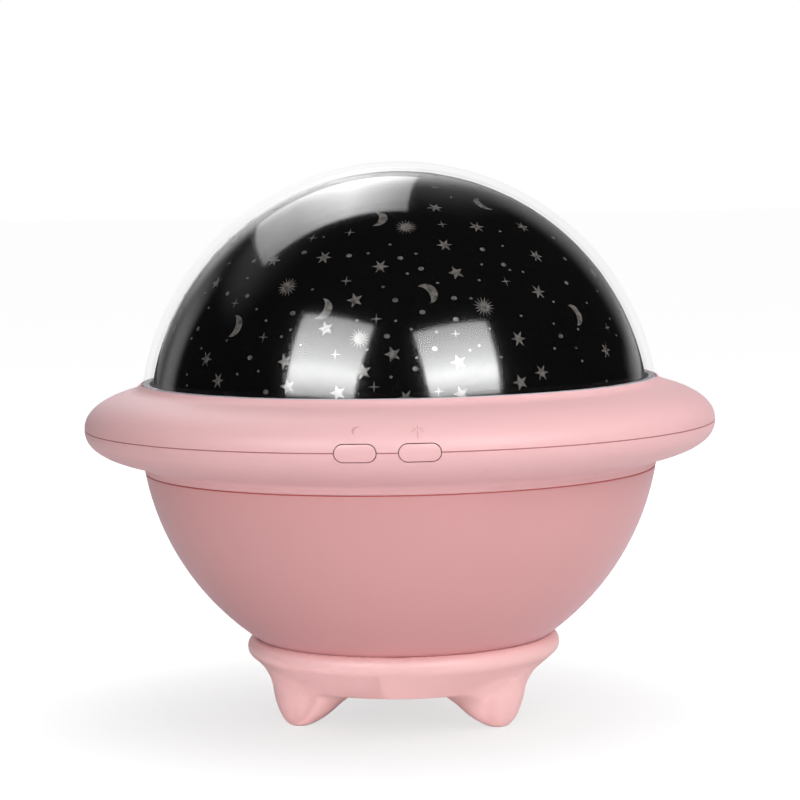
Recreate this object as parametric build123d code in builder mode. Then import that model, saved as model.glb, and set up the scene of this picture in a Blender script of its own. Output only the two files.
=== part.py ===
"""Star night light projector: a saucer-shaped body on three feet, with a clear dome over a turning star film.

Units are millimetres. +Z is up, the origin is on the floor under the body's axis, and the buttons face -Y.
Heights named "..._h" are measured from the saucer's parting plane, which is also the centre of the ball that
the clear dome and the bowl share.
"""

from build123d import *

import os
from math import acos, asin, cos, pi, radians, sin, sqrt, tan

# ---------------------------------------------------------------- outside shape
ball_r = 66.0           # outer radius of the ball: clear dome above, bowl below
saucer_reach = 14.0     # how far the saucer ring stands out over the ball
saucer_section_l = 30.0 # half length of the saucer's superellipse section
saucer_rise = 11.1      # section's half height above the parting plane
saucer_drop = 10.05     # section's half height below it
rise_power = 2.23       # superellipse power above
drop_power = 2.38       # superellipse power below
shell_wall = 2.0        # wall of both saucer shells
seam_bevel = 0.15       # bevel of each shell at the parting plane

# ---------------------------------------------------------------- clear dome and its socket
dome_wall = 1.6
dome_join_h = 10.0      # where the ball turns into the straight skirt
dome_fit = 0.25         # radial clearance of the skirt in its socket
lip_h = 11.0            # top of the lip round the dome
lip_width = 0.35
lip_round = 0.12
lip_foot = 2.4          # width of the hollow curve that leads up to the lip
socket_wall = 1.8

# ---------------------------------------------------------------- clamped stack: ledge, deck, spacers, ledge
ledge_t = 2.0           # inner ledge of each saucer shell
ledge_inset = 12.0      # from the ball's radius in to the ledges' edge
deck_inset = 3.5        # from the ball's radius in to the deck's edge
deck_t = 2.4
spacer_l = 4.5          # from the deck down to the lower ledge
housing_screw_inset = 8.0
housing_screws_n = 4
housing_boss_r = 3.6
housing_boss_l = 14.0
housing_screw_l = 20.0

# ---------------------------------------------------------------- collar and bowl
collar_inset = 0.9      # how far the collar lies inside the ball's radius
collar_bevel = 0.3
bowl_rim_round = 0.5    # how far the bowl's rim is rounded under the collar
collar_wall = 2.2
collar_end_h = -11.4
collar_fillet = 1.2     # width of the hollow curve from the saucer's underside to the collar
bowl_wall = 2.2
bowl_flat_cut = 1.95    # how much the bowl's flat bottom cuts off the ball
spigot_fit = 0.1
spigot_wall = 2.0

# ---------------------------------------------------------------- foot base
base_bead_r = 2.7       # rounded rim of the base
base_rim_r = 40.0
base_bead_stand = 2.04  # how far the middle of the rim's round lies outside the ball
base_floor_z = 9.75
base_side_run = 9.0     # from the rim in to the edge of the flat floor
base_wall = 2.0
base_fit = 0.05
foot_count = 3
foot_turn = -4.4        # degrees: the feet stand this much round from the buttons
foot_tip_inset = 2.0    # where the tip stands, in from the edge of the flat floor
foot_tip_flat = 2.2
foot_sections = [       # (height, how far inside the tip's circle, radius) of the foot above its flat tip
    (0.9, 0.5, 3.9),
    (2.6, 1.4, 5.9),
    (5.2, 2.5, 8.0),
    (8.2, 3.6, 9.8),
    (11.2, 4.7, 11.2),
    (13.5, 5.5, 12.2),
]
foot_hollow_z = 3.5
foot_hollow_tip = (1.4, 3.5)    # how far inside the tip's circle, radius
foot_hollow_mouth = (3.8, 8.0)
base_screw_circle_r = 14.0
base_boss_r = 3.5
base_boss_l = 10.5
base_screw_l = 9.0
base_screw_recess = 0.8

# ---------------------------------------------------------------- screws, in two sizes
m3_shank_r = 1.4
m3_head_r = 2.75
m3_head_t = 2.0
m2_shank_r = 0.85
m2_head_r = 1.8
m2_head_t = 1.2
hole_play = 0.3         # radial play of a screw in a through hole
pilot_play = 0.05       # radial play of a screw in its pilot hole
tip_gap = 1.0           # room under a screw's tip
screw_tip_room = 0.4    # the same where the wall is thin
boss_root = 0.8         # how far a post runs down into the wall that carries it

# ---------------------------------------------------------------- turntable and star film
turntable_gap = 0.6     # over the housing screws' heads
turntable_t = 2.0
turntable_edge_play = 0.5
turntable_round = 0.4
hub_rib_n = 6
outer_rib_n = 12
film_gap = 0.85         # between film and clear dome
film_t = 0.5
film_flange = 3.2
film_ring_play = 0.3
film_ring_t = 1.3
film_ring_l = 2.0
film_hook_n = 3
film_hook_reach = 1.0
film_hook_w = 6.0
hub_wall = 2.4
hub_up_l = 2.0
post_r = 11.6
post_wall = 2.0
shaft_play = 0.05       # radial running clearance
washer_t = 0.6
washer_r = 14.6
run_gap = 0.1           # end play of the turntable's hub
rib_w = 1.5
rib_t = 2.0
rib_play = 1.0          # between the ribs and what they pass over
gear_skirt_t = 2.2

# ---------------------------------------------------------------- gears
gear_module = 0.8
gear_teeth = 64
pinion_teeth = 16
pressure_angle = 20.0
backlash = 0.12
pinion_l = 3.6
pinion_lift = 0.6       # over the deck
gear_reach = 0.2        # how far the ring gear ends over the pinion's foot

# ---------------------------------------------------------------- lamp
post_flange_r = 16.4
post_flange_t = 2.0
post_screw_circle_r = 14.0
post_screws_n = 3
post_screw_l = 3.8
head_r = 14.6
head_floor_t = 2.0
head_rim_wall = 1.5
head_rim_l = 3.0
head_spigot_l = 3.0
head_fit = 0.1
head_run_gap = 0.3
head_round = 0.5
wire_hole_r = 3.0
led_board_t = 1.6
led_board_fit = 0.3
emitter_w = 5.0
emitter_t = 1.1
emitter_lens_r = 2.1

# ---------------------------------------------------------------- motor
gearbox_w = 12.0
gearbox_d = 10.0
gearbox_l = 9.0
motor_can_l = 15.0
motor_can_bevel = 2.2
motor_tail_l = 1.6
motor_tail_r = 2.6
motor_shaft_r = 1.5
motor_shaft_in = 5.0
motor_shaft_hole_play = 0.8
bracket_t = 1.2
bracket_l = 7.0
bracket_ear = 5.4
bracket_screw_l = 2.8

# ---------------------------------------------------------------- main board
board_t = 1.6
main_board_inset = 29.5 # from the deck's edge in to the board's centre
main_board_w = 31.0
main_board_d = 36.0
main_peg_l = 6.0
main_peg_r = 2.2
main_screw_inset = 3.0
main_screw_l = 6.0
chip_size = (6.0, 10.0, 1.5)
capacitor_r = 3.2
capacitor_l = 8.0
capacitor_gap = 1.3     # from each capacitor to the board's middle lines
plug_w = 6.0
plug_d = 5.0
plug_l = 4.5
plug_inset = 0.5
plug_pitch = 8.5

# ---------------------------------------------------------------- battery
cell_r = 9.2
cell_l = 66.0
cell_round = 0.6
cell_h = -38.0          # axis of the cell
contact_r = 5.0
contact_t = 0.4
contact_tab_w = 3.0
contact_tab_up = 1.0    # how far the tab stands over the cell
cradle_wall = 1.6
cradle_play = 0.2
cradle_floor_t = 2.4
cradle_post_x = 24.0
cradle_post_y = 7.4
cradle_end_up = 6.0     # how far the cradle's end walls stand over the cell's middle
cradle_post_r = 3.4
cradle_screw_l = 7.0
strap_w = 9.0
strap_t = 1.0
strap_boss_r = 2.3
strap_boss_l = 7.0
strap_screw_l = 5.0
strap_play = 0.05

# ---------------------------------------------------------------- buttons and switches
button_w = 9.5
button_h = 4.0
button_gap = 0.22       # round each button
button_pitch = 14.8
button_flange = 0.8
button_flange_t = 1.2
button_seat_inset = 4.0 # from the saucer's edge in to the flat seat behind its wall
button_seat_gap = 0.1
button_travel = 0.5
seat_pad_w = 31.0
seat_pad_h = 8.4
seat_room = 6.0         # cleared behind the pads
switch_w = 6.0
switch_t = 3.5
plunger_r = 1.7
plunger_out = 1.5
plunger_in = 0.4
plunger_play = 0.1
button_board_w = 30.0
button_board_h = 10.0
button_post_x = 12.7
button_post_w = 5.0
button_post_d = 3.0
button_post_gap = 0.4   # under the upper shell
button_screw_h = -2.8
button_screw_l = 4.2
board_plug = (5.0, 4.0, 2.5)
board_plug_h = -4.2     # middle of the button board's plug
usb_plug_inset = 1.0

# ---------------------------------------------------------------- charging socket
port_w = 8.94
port_h = 3.16
port_l = 7.3
port_wall = 0.3
port_gap = 0.2
port_tongue = (6.6, 0.7)
port_tongue_l = 5.0
port_back_t = 0.8
port_set_back = 0.2     # how far the socket's mouth lies behind the well's floor
port_well_w = 13.0
port_well_h = 7.0
port_well_corner_r = 2.8
port_well_inset = 2.2   # from the saucer's edge in to the well's floor
port_pad_t = 2.0
usb_board_w = 15.0
usb_board_d = 11.2
usb_board_set_back = 2.4    # from the socket's mouth in to the board's edge
usb_board_t = 1.2
usb_screw_x = 5.0
usb_screw_inset = 2.6
usb_boss_r = 2.0
usb_screw_l = 4.0

# ---------------------------------------------------------------- wires
wire_r = 1.0
wire_bend = 6.0
wire_small_bend = 3.0
plug_run = 8.0          # straight run of a lead into an outer plug
side_lead_inset = 12.5  # from the deck's edge in to where the leads of the small boards turn aside
side_lead_bend = (3.0, 34.0)    # from the main board's middle, from the axis
side_lead_turn = (2.0, 22.0)    # from the lead's end, from the axis
led_lead_bend = 5.0
motor_lead_h = -20.8
motor_lead_x = -12.0
motor_lead_up_run = 12.0    # from where the lead has come up to its plug
cell_lead_run = 6.6     # from the contact out to where the lead turns up
cell_lead_back = (2.0, -2.0)
cell_lead_h = -22.8
cell_lead_up_run = (6.0, 10.0)
cell_lead_up_h = -21.8
cell_lead_bend = 2.5

# ---------------------------------------------------------------- sizes worked out from the ones above
saucer_r = ball_r + saucer_reach
saucer_core_r = saucer_r - saucer_section_l
ledge_in_r = ball_r - ledge_inset
deck_r = ball_r - deck_inset
housing_screw_circle_r = ball_r - housing_screw_inset
collar_r = ball_r - collar_inset
base_floor_r = base_rim_r - base_side_run
foot_tip_r = base_floor_r - foot_tip_inset
bead_r = base_rim_r - base_bead_r
bowl_floor_z = base_floor_z + base_wall      # the bowl's flat bottom stands on the base's floor
mid_z = bowl_floor_z + ball_r - bowl_flat_cut
base_rim_z = mid_z - sqrt((ball_r + base_bead_stand) ** 2 - bead_r**2)
section = Plane(origin=(0, 0, mid_z), x_dir=(1, 0, 0), z_dir=(0, -1, 0))
floor_section = Plane(origin=(0, 0, 0), x_dir=(1, 0, 0), z_dir=(0, -1, 0))

dome_in_r = ball_r - dome_wall
skirt_r = sqrt(ball_r**2 - dome_join_h**2)
skirt_in_r = skirt_r - dome_wall
socket_r = skirt_r + dome_fit
lip_r = socket_r + lip_width

deck_h = -deck_t
lower_ledge_h = deck_h - spacer_l            # top of the lower ledge
bowl_top_h = lower_ledge_h - ledge_t
bowl_in_r = ball_r - bowl_wall
bowl_rim_r = sqrt(ball_r**2 - collar_end_h**2)
collar_in_r = collar_r - collar_wall
spigot_r = collar_in_r - spigot_fit
spigot_in_r = spigot_r - spigot_wall
bowl_flat_h = bowl_floor_z - mid_z

cell_z = mid_z + cell_h

turntable_h = ledge_t + m3_head_t + turntable_gap
film_seat_h = turntable_h + turntable_t
film_r = dome_in_r - film_gap
film_rim_r = sqrt(film_r**2 - film_seat_h**2)
film_ring_r = film_rim_r - film_flange - film_ring_play
turntable_r = skirt_in_r - turntable_edge_play
hub_in_r = post_r + shaft_play
hub_r = hub_in_r + hub_wall
hub_h = washer_t + run_gap
hub_top_h = film_seat_h + hub_up_l
head_h = hub_top_h + head_run_gap

gear_pitch_r = gear_module * gear_teeth / 2
pinion_pitch_r = gear_module * pinion_teeth / 2
motor_x = -(gear_pitch_r + pinion_pitch_r)
gear_root_r = gear_pitch_r - 1.25 * gear_module
outer_rib_in_r = pinion_pitch_r + gear_module + rib_play - motor_x
outer_rib_out_r = housing_screw_circle_r - m3_head_r - rib_play

main_board_x = deck_r - main_board_inset
main_board_h = deck_h - main_peg_l           # top of the board
main_under_h = main_board_h - board_t
plug_mid_h = main_under_h - plug_l / 2
button_seat_y = saucer_r - button_seat_inset
button_seat_face_y = button_seat_y - button_seat_gap
button_rear_y = button_seat_face_y - button_flange_t
switch_face_y = button_rear_y - plunger_out
button_board_y = switch_face_y - switch_t    # front of the button board
button_post_y = button_board_y - board_t
port_well_floor_y = saucer_r - port_well_inset
port_face_y = port_well_floor_y - port_set_back
port_pad_y = port_well_floor_y - port_pad_t
usb_board_out_y = port_face_y - usb_board_set_back
usb_board_in_y = usb_board_out_y - usb_board_d
usb_screw_y = usb_board_in_y + usb_screw_inset
usb_board_h = -port_h / 2                    # top of the charging board
usb_under_h = usb_board_h - usb_board_t

button_xs = [-button_pitch / 2, button_pitch / 2]
foot_angles = [90 + foot_turn + n * 360 / foot_count for n in range(foot_count)]
base_screw_angles = [a + 180 / foot_count for a in foot_angles]
housing_angle = 180 / housing_screws_n
main_screw_x = main_board_w / 2 - main_screw_inset
main_screw_y = main_board_d / 2 - main_screw_inset


def saucer_share(radius, semi_width, power):
    """Height of the superellipse at a radius, as a share of its half height."""
    return (1 - ((radius - saucer_core_r) / semi_width) ** power) ** (1 / power)


def saucer_points(start_share, end_share, semi_width, semi_height, power, count=7):
    """Points (radius, height) along a quarter of the superellipse section."""
    points = []
    for n in range(count):
        share = start_share + (end_share - start_share) * n / (count - 1)
        radius = saucer_core_r + semi_width * (1 - abs(share) ** power) ** (1 / power)
        points.append((radius, semi_height * share))
    return points


def on_ball(radius, height):
    """Distance from the axis of a ball's surface at a height from its centre."""
    return sqrt(radius**2 - height**2)


def ball_arc(radius, start_height, end_height):
    """Arc of the ball's section between two heights, in the current line."""
    middle = (asin(start_height / radius) + asin(end_height / radius)) / 2
    return ThreePointArc(
        (on_ball(radius, start_height), start_height),
        (radius * cos(middle), radius * sin(middle)),
        (on_ball(radius, end_height), end_height),
    )


def at_height(height):
    """Horizontal plane at a height from the parting plane."""
    return Plane.XY.offset(mid_z + height)


def facing_front(distance):
    """Upright plane that faces -Y, this far in front of the axis."""
    return Plane(origin=(0, -distance, mid_z), x_dir=(1, 0, 0), z_dir=(0, -1, 0))


def facing_back(distance):
    """Upright plane that faces +Y, this far behind the axis."""
    return Plane(origin=(0, distance, mid_z), x_dir=(-1, 0, 0), z_dir=(0, 1, 0))


def polar(radius, angle):
    """Point at a distance and an angle in degrees round the axis."""
    return (radius * cos(radians(angle)), radius * sin(radians(angle)))


def tooth_outline(teeth):
    """Half angles of one tooth at its radii, from root to tip, thinned by the backlash."""
    pitch_r = gear_module * teeth / 2
    base_r = pitch_r * cos(radians(pressure_angle))
    root_r = pitch_r - 1.25 * gear_module
    tip_r = pitch_r + gear_module
    involute = tan(radians(pressure_angle)) - radians(pressure_angle)
    half = pi / (2 * teeth) - backlash / (2 * pitch_r) + involute
    start_r = max(root_r, base_r)
    outline = [] if start_r == root_r else [(root_r, half)]
    for radius in (start_r, (start_r + tip_r) / 2, tip_r):
        roll = acos(base_r / radius)
        outline.append((radius, half - (tan(roll) - roll)))
    return outline


def gear_face(teeth, first_tooth_angle):
    """Toothed disc in the current sketch, with a tooth at the given angle."""
    outline = tooth_outline(teeth)
    root_r, root_half = outline[0]
    with BuildSketch(mode=Mode.PRIVATE) as tooth:
        with BuildLine():
            left = [(r * cos(a), r * sin(a)) for r, a in outline]
            right = [(x, -y) for x, y in left]
            if len(outline) == 4:
                Line(left[0], left[1])
                Line(right[0], right[1])
            ThreePointArc(*left[-3:])
            ThreePointArc(*right[-3:])
            ThreePointArc(left[-1], (outline[-1][0], 0), right[-1])
            inner = (root_r - gear_module) * cos(root_half)
            Polyline(left[0], (inner, left[0][1]), (inner, right[0][1]), right[0])
        make_face()
    Circle(root_r)
    with PolarLocations(0, teeth, start_angle=first_tooth_angle):
        add(tooth.sketch)


def tube_wire(points, radii, label):
    """Round wire along straight runs joined by tangent arcs, checked by its volume."""
    with BuildPart() as wire:
        with BuildLine():
            route = FilletPolyline(*points, radius=radii)
        with BuildSketch(Plane(origin=route @ 0, z_dir=route % 0)):
            Circle(wire_r)
        sweep()
    swept = pi * wire_r**2 * route.length
    print(f"{label}: {route.length:.1f} mm long, volume over swept {wire.part.volume / swept:.4f}")
    wire.part.label = label
    export_step(wire.part, f"parts/{label}.step")


os.makedirs("parts", exist_ok=True)

# ================================================================ clear dome
with BuildPart() as outer_dome:
    with BuildSketch(section):
        with BuildLine():
            ball_arc(ball_r, ball_r, dome_join_h)
            inner_join_h = on_ball(dome_in_r, skirt_in_r)
            Polyline(
                (skirt_r, dome_join_h),
                (skirt_r, ledge_t),
                (skirt_in_r, ledge_t),
                (skirt_in_r, inner_join_h),
            )
            ball_arc(dome_in_r, inner_join_h, dome_in_r)
            Line((0, dome_in_r), (0, ball_r))
        make_face()
    revolve(axis=Axis.Z)
outer_dome.part.label = "outer_dome"
export_step(outer_dome.part, "parts/outer_dome.step")

# ================================================================ star film
with BuildPart() as film_dome:
    with BuildSketch(section):
        film_in_r = film_r - film_t
        film_flange_top_h = film_seat_h + film_t
        with BuildLine():
            ball_arc(film_r, film_r, film_seat_h)
            Polyline(
                (film_rim_r, film_seat_h),
                (film_rim_r - film_flange, film_seat_h),
                (film_rim_r - film_flange, film_flange_top_h),
                (on_ball(film_in_r, film_flange_top_h), film_flange_top_h),
            )
            ball_arc(film_in_r, film_flange_top_h, film_in_r)
            Line((0, film_in_r), (0, film_r))
        make_face()
    revolve(axis=Axis.Z)
film_dome.part.label = "film_dome"
export_step(film_dome.part, "parts/film_dome.step")

# ================================================================ turntable with its ring gear
with BuildPart() as turntable:
    with BuildSketch(at_height(turntable_h)):
        Circle(turntable_r)
    extrude(amount=turntable_t)
    fillet(turntable.edges().group_by(Axis.Z)[-1], turntable_round)
    with BuildSketch(at_height(film_seat_h)):
        Circle(film_ring_r)
        Circle(film_ring_r - film_ring_t, mode=Mode.SUBTRACT)
    extrude(amount=film_ring_l)
    hook_h = film_seat_h + film_t + film_ring_play
    with BuildSketch(at_height(hook_h)):
        with PolarLocations(film_ring_r + (film_hook_reach - film_ring_t) / 2, film_hook_n):
            Rectangle(film_hook_reach + film_ring_t, film_hook_w)
    extrude(amount=film_seat_h + film_ring_l - hook_h)
    with BuildSketch(at_height(turntable_h)):
        gear_face(gear_teeth, 0)
        Circle(gear_root_r - gear_skirt_t, mode=Mode.SUBTRACT)
    extrude(amount=pinion_lift + gear_reach - turntable_h)
    with BuildSketch(at_height(turntable_h)):
        with PolarLocations((hub_r + gear_root_r - gear_skirt_t) / 2, hub_rib_n):
            Rectangle(gear_root_r - hub_r, rib_w)
    extrude(amount=-rib_t)
    with BuildSketch(at_height(turntable_h - rib_t)):
        with PolarLocations((outer_rib_in_r + outer_rib_out_r) / 2, outer_rib_n):
            Rectangle(outer_rib_out_r - outer_rib_in_r, rib_w)
    extrude(amount=rib_t)
    with BuildSketch(at_height(hub_h)):
        Circle(hub_r)
    extrude(amount=hub_top_h - hub_h)
    with BuildSketch(at_height(hub_h)):
        Circle(hub_in_r)
    extrude(amount=hub_top_h - hub_h, mode=Mode.SUBTRACT)
turntable.part.label = "turntable"
export_step(turntable.part, "parts/turntable.step")

with BuildPart() as thrust_washer:
    with BuildSketch(at_height(0)):
        Circle(washer_r)
        Circle(hub_in_r, mode=Mode.SUBTRACT)
    extrude(amount=washer_t)
thrust_washer.part.label = "thrust_washer"
export_step(thrust_washer.part, "parts/thrust_washer.step")

# ================================================================ pinion and motor shaft
pinion_gap_angle = 180 / pinion_teeth
with BuildPart() as pinion:
    with BuildSketch(at_height(pinion_lift)):
        with BuildSketch(mode=Mode.PRIVATE) as pinion_disc:
            gear_face(pinion_teeth, pinion_gap_angle)
            Circle(motor_shaft_r, mode=Mode.SUBTRACT)
        with Locations((motor_x, 0)):
            add(pinion_disc.sketch)
    extrude(amount=pinion_l)
pinion.part.label = "pinion"
export_step(pinion.part, "parts/pinion.step")

with BuildPart() as motor_shaft:
    with BuildSketch(at_height(deck_h - motor_shaft_in)):
        with Locations((motor_x, 0)):
            Circle(motor_shaft_r)
    extrude(amount=motor_shaft_in - deck_h + pinion_lift + pinion_l)
motor_shaft.part.label = "motor_shaft"
export_step(motor_shaft.part, "parts/motor_shaft.step")

# ================================================================ motor
with BuildPart() as motor_gearbox:
    with BuildSketch(at_height(deck_h)):
        with Locations((motor_x, 0)):
            Rectangle(gearbox_w, gearbox_d)
    extrude(amount=-gearbox_l)
    with BuildSketch(at_height(deck_h)):
        with Locations((motor_x, 0)):
            Circle(motor_shaft_r + shaft_play)
    extrude(amount=-(motor_shaft_in + tip_gap), mode=Mode.SUBTRACT)
motor_gearbox.part.label = "motor_gearbox"
export_step(motor_gearbox.part, "parts/motor_gearbox.step")

motor_can_h = deck_h - gearbox_l
with BuildPart() as motor_can:
    with BuildSketch(at_height(motor_can_h)):
        with Locations((motor_x, 0)):
            Rectangle(gearbox_w, gearbox_d)
    extrude(amount=-motor_can_l)
    fillet(motor_can.edges().filter_by(Axis.Z), motor_can_bevel)
    with BuildSketch(at_height(motor_can_h - motor_can_l)):
        with Locations((motor_x, 0)):
            Circle(motor_tail_r)
    extrude(amount=-motor_tail_l)
motor_can.part.label = "motor_can"
export_step(motor_can.part, "parts/motor_can.step")

bracket_ear_y = gearbox_d / 2 + bracket_t + bracket_ear / 2
with BuildPart() as motor_bracket:
    with BuildSketch(at_height(deck_h)):
        with Locations((motor_x, 0)):
            Rectangle(gearbox_w + 2 * bracket_t, gearbox_d + 2 * bracket_t)
    extrude(amount=-bracket_l)
    with BuildSketch(at_height(deck_h)):
        with Locations((motor_x, 0)):
            Rectangle(gearbox_w - 2 * bracket_t, 2 * bracket_ear_y + bracket_ear)
    extrude(amount=-bracket_t)
    with BuildSketch(at_height(deck_h)):
        with Locations((motor_x, 0)):
            Rectangle(gearbox_w, gearbox_d)
    extrude(amount=-bracket_l, mode=Mode.SUBTRACT)
    with BuildSketch(at_height(deck_h)):
        with Locations((motor_x, bracket_ear_y), (motor_x, -bracket_ear_y)):
            Circle(m2_shank_r + hole_play)
    extrude(amount=-bracket_t, mode=Mode.SUBTRACT)
motor_bracket.part.label = "motor_bracket"
export_step(motor_bracket.part, "parts/motor_bracket.step")


def screws(label, plane, places, shank_r, head_r_, head_t_, length):
    """Group of like screws: each head stands on the plane, and each shank goes the other way."""
    with BuildPart() as group:
        with BuildSketch(plane):
            with Locations(*places):
                Circle(head_r_)
        extrude(amount=head_t_)
        fillet(group.edges().group_by(SortBy.LENGTH)[-1], head_t_ / 4)
        with BuildSketch(plane.offset(head_t_)):
            with Locations(*places):
                RegularPolygon(head_r_ / 2, 6)
        extrude(amount=-head_t_ / 2, mode=Mode.SUBTRACT)
        with BuildSketch(plane):
            with Locations(*places):
                Circle(shank_r)
        extrude(amount=-length)
    group.part.label = label
    export_step(group.part, f"parts/{label}.step")


def screw_size(name):
    """Shank radius, head radius and head height of a screw size."""
    if name == "m3":
        return (m3_shank_r, m3_head_r, m3_head_t)
    return (m2_shank_r, m2_head_r, m2_head_t)


def looking_down(height):
    """Plane that faces down at a height from the parting plane, for screws driven from below."""
    return Plane(origin=(0, 0, mid_z + height), x_dir=(1, 0, 0), z_dir=(0, 0, -1))


motor_screw_places = [(motor_x, bracket_ear_y), (motor_x, -bracket_ear_y)]
screws(
    "motor_screws", looking_down(deck_h - bracket_t), motor_screw_places,
    *screw_size("m2"), bracket_screw_l,
)

# ================================================================ deck
post_screw_places = [polar(post_screw_circle_r, n * 360 / post_screws_n) for n in range(post_screws_n)]
housing_places = [
    polar(housing_screw_circle_r, housing_angle + n * 360 / housing_screws_n) for n in range(housing_screws_n)
]
main_places = [
    (main_board_x + sx * main_screw_x, sy * main_screw_y) for sx in (-1, 1) for sy in (-1, 1)
]
with BuildPart() as deck_plate:
    with BuildSketch(at_height(deck_h)):
        Circle(deck_r)
        Circle(post_r + head_fit, mode=Mode.SUBTRACT)
        with Locations(*housing_places):
            Circle(m3_shank_r + hole_play, mode=Mode.SUBTRACT)
        with Locations((motor_x, 0)):
            Circle(motor_shaft_r + motor_shaft_hole_play, mode=Mode.SUBTRACT)
    extrude(amount=deck_t)
    with BuildSketch(at_height(deck_h)):
        with Locations(*main_places):
            Circle(main_peg_r)
    extrude(amount=-main_peg_l)
    with BuildSketch(at_height(main_board_h)):
        with Locations(*main_places):
            Circle(m2_shank_r + pilot_play)
    extrude(amount=main_screw_l - board_t + tip_gap, mode=Mode.SUBTRACT)
    with BuildSketch(at_height(deck_h)):
        with Locations(*post_screw_places):
            Circle(m2_shank_r + pilot_play)
        with Locations(*motor_screw_places):
            Circle(m2_shank_r + pilot_play)
    extrude(amount=deck_t, mode=Mode.SUBTRACT)
deck_plate.part.label = "deck_plate"
export_step(deck_plate.part, "parts/deck_plate.step")

# ================================================================ lamp
with BuildPart() as lamp_post:
    with BuildSketch(at_height(deck_h - post_flange_t)):
        Circle(post_flange_r)
        with Locations(*post_screw_places):
            Circle(m2_shank_r + hole_play, mode=Mode.SUBTRACT)
    extrude(amount=post_flange_t)
    with BuildSketch(at_height(deck_h)):
        Circle(post_r)
    extrude(amount=head_h - deck_h)
    with BuildSketch(at_height(deck_h - post_flange_t)):
        Circle(post_r - post_wall)
    extrude(amount=head_h - deck_h + post_flange_t, mode=Mode.SUBTRACT)
lamp_post.part.label = "lamp_post"
export_step(lamp_post.part, "parts/lamp_post.step")

screws(
    "lamp_post_screws", looking_down(deck_h - post_flange_t), [(x, -y) for x, y in post_screw_places],
    *screw_size("m2"), post_screw_l,
)

head_floor_h = head_h + head_floor_t
with BuildPart() as lamp_head:
    with BuildSketch(at_height(head_h)):
        Circle(head_r)
    extrude(amount=head_floor_t + head_rim_l)
    fillet(lamp_head.edges().group_by(Axis.Z)[-1], head_round)
    with BuildSketch(at_height(head_floor_h)):
        Circle(head_r - head_rim_wall)
    extrude(amount=head_rim_l, mode=Mode.SUBTRACT)
    with BuildSketch(at_height(head_h - head_spigot_l)):
        Circle(post_r - post_wall - head_fit)
    extrude(amount=head_spigot_l)
    with BuildSketch(at_height(head_h - head_spigot_l)):
        Circle(wire_hole_r)
    extrude(amount=head_spigot_l + head_floor_t, mode=Mode.SUBTRACT)
lamp_head.part.label = "lamp_head"
export_step(lamp_head.part, "parts/lamp_head.step")

led_top_h = head_floor_h + led_board_t
with BuildPart() as led_board:
    with BuildSketch(at_height(head_floor_h)):
        Circle(head_r - head_rim_wall - led_board_fit)
    extrude(amount=led_board_t)
led_board.part.label = "led_board"
export_step(led_board.part, "parts/led_board.step")

with BuildPart() as led_emitter:
    with BuildSketch(at_height(led_top_h)):
        Rectangle(emitter_w, emitter_w)
    extrude(amount=emitter_t)
    with BuildSketch(section):
        lens_h = led_top_h + emitter_t
        lens_root_h = led_top_h + emitter_t / 2
        with BuildLine():
            CenterArc((0, lens_h), emitter_lens_r, 0, 90)
            Polyline((0, lens_h + emitter_lens_r), (0, lens_root_h), (emitter_lens_r, lens_root_h))
            Line((emitter_lens_r, lens_root_h), (emitter_lens_r, lens_h))
        make_face()
    revolve(axis=Axis.Z)
led_emitter.part.label = "led_emitter"
export_step(led_emitter.part, "parts/led_emitter.step")

# ================================================================ saucer shells
outer_semi = saucer_r - saucer_core_r
inner_semi = outer_semi - shell_wall
inner_rise = saucer_rise - shell_wall
inner_drop = saucer_drop - shell_wall


def saucer_solid(inset):
    """The whole saucer as a solid whose surface lies this far inside the shells' outside."""
    semi = outer_semi - inset
    with BuildPart() as solid_saucer:
        with BuildSketch(section):
            with BuildLine():
                up = saucer_share(deck_r, semi, rise_power)
                down = saucer_share(deck_r, semi, drop_power)
                above = saucer_points(0, up, semi, saucer_rise - inset, rise_power)
                below = saucer_points(0, -down, semi, saucer_drop - inset, drop_power)
                Spline(*above)
                Spline(*below)
                Line(above[-1], below[-1])
            make_face()
        revolve(axis=Axis.Z)
    return solid_saucer.part


# flat pads behind the outer walls: the buttons' seat in front, the charging port's frame at the back
with BuildPart() as wall_pads:
    with BuildSketch(facing_front(button_seat_y)):
        Rectangle(seat_pad_w, seat_pad_h)
    extrude(amount=saucer_r - button_seat_y)
    with BuildSketch(facing_back(port_pad_y)):
        Rectangle(port_well_w + 2 * shell_wall, port_well_h + 2 * shell_wall)
    extrude(amount=saucer_r - port_pad_y)
    add(saucer_solid(shell_wall / 2), mode=Mode.INTERSECT)

# what is cut out of both shells: room behind the seat, button slots, port well and port hole
with BuildPart() as wall_cuts:
    with BuildSketch(facing_front(button_seat_y)):
        Rectangle(seat_pad_w, seat_pad_h)
    extrude(amount=-seat_room)
    with BuildSketch(facing_front(button_seat_y)):
        with Locations(*[(x, 0) for x in button_xs]):
            SlotOverall(button_w + 2 * button_gap, button_h + 2 * button_gap)
    extrude(amount=saucer_r - button_seat_y)
    with BuildSketch(facing_back(port_well_floor_y)):
        RectangleRounded(port_well_w, port_well_h, port_well_corner_r)
    extrude(amount=saucer_r - port_well_floor_y)
    with BuildSketch(facing_back(port_pad_y - seat_room)):
        RectangleRounded(port_w + 2 * port_gap, port_h + 2 * port_gap, port_h / 2)
    extrude(amount=saucer_r - port_pad_y + seat_room)

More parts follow.
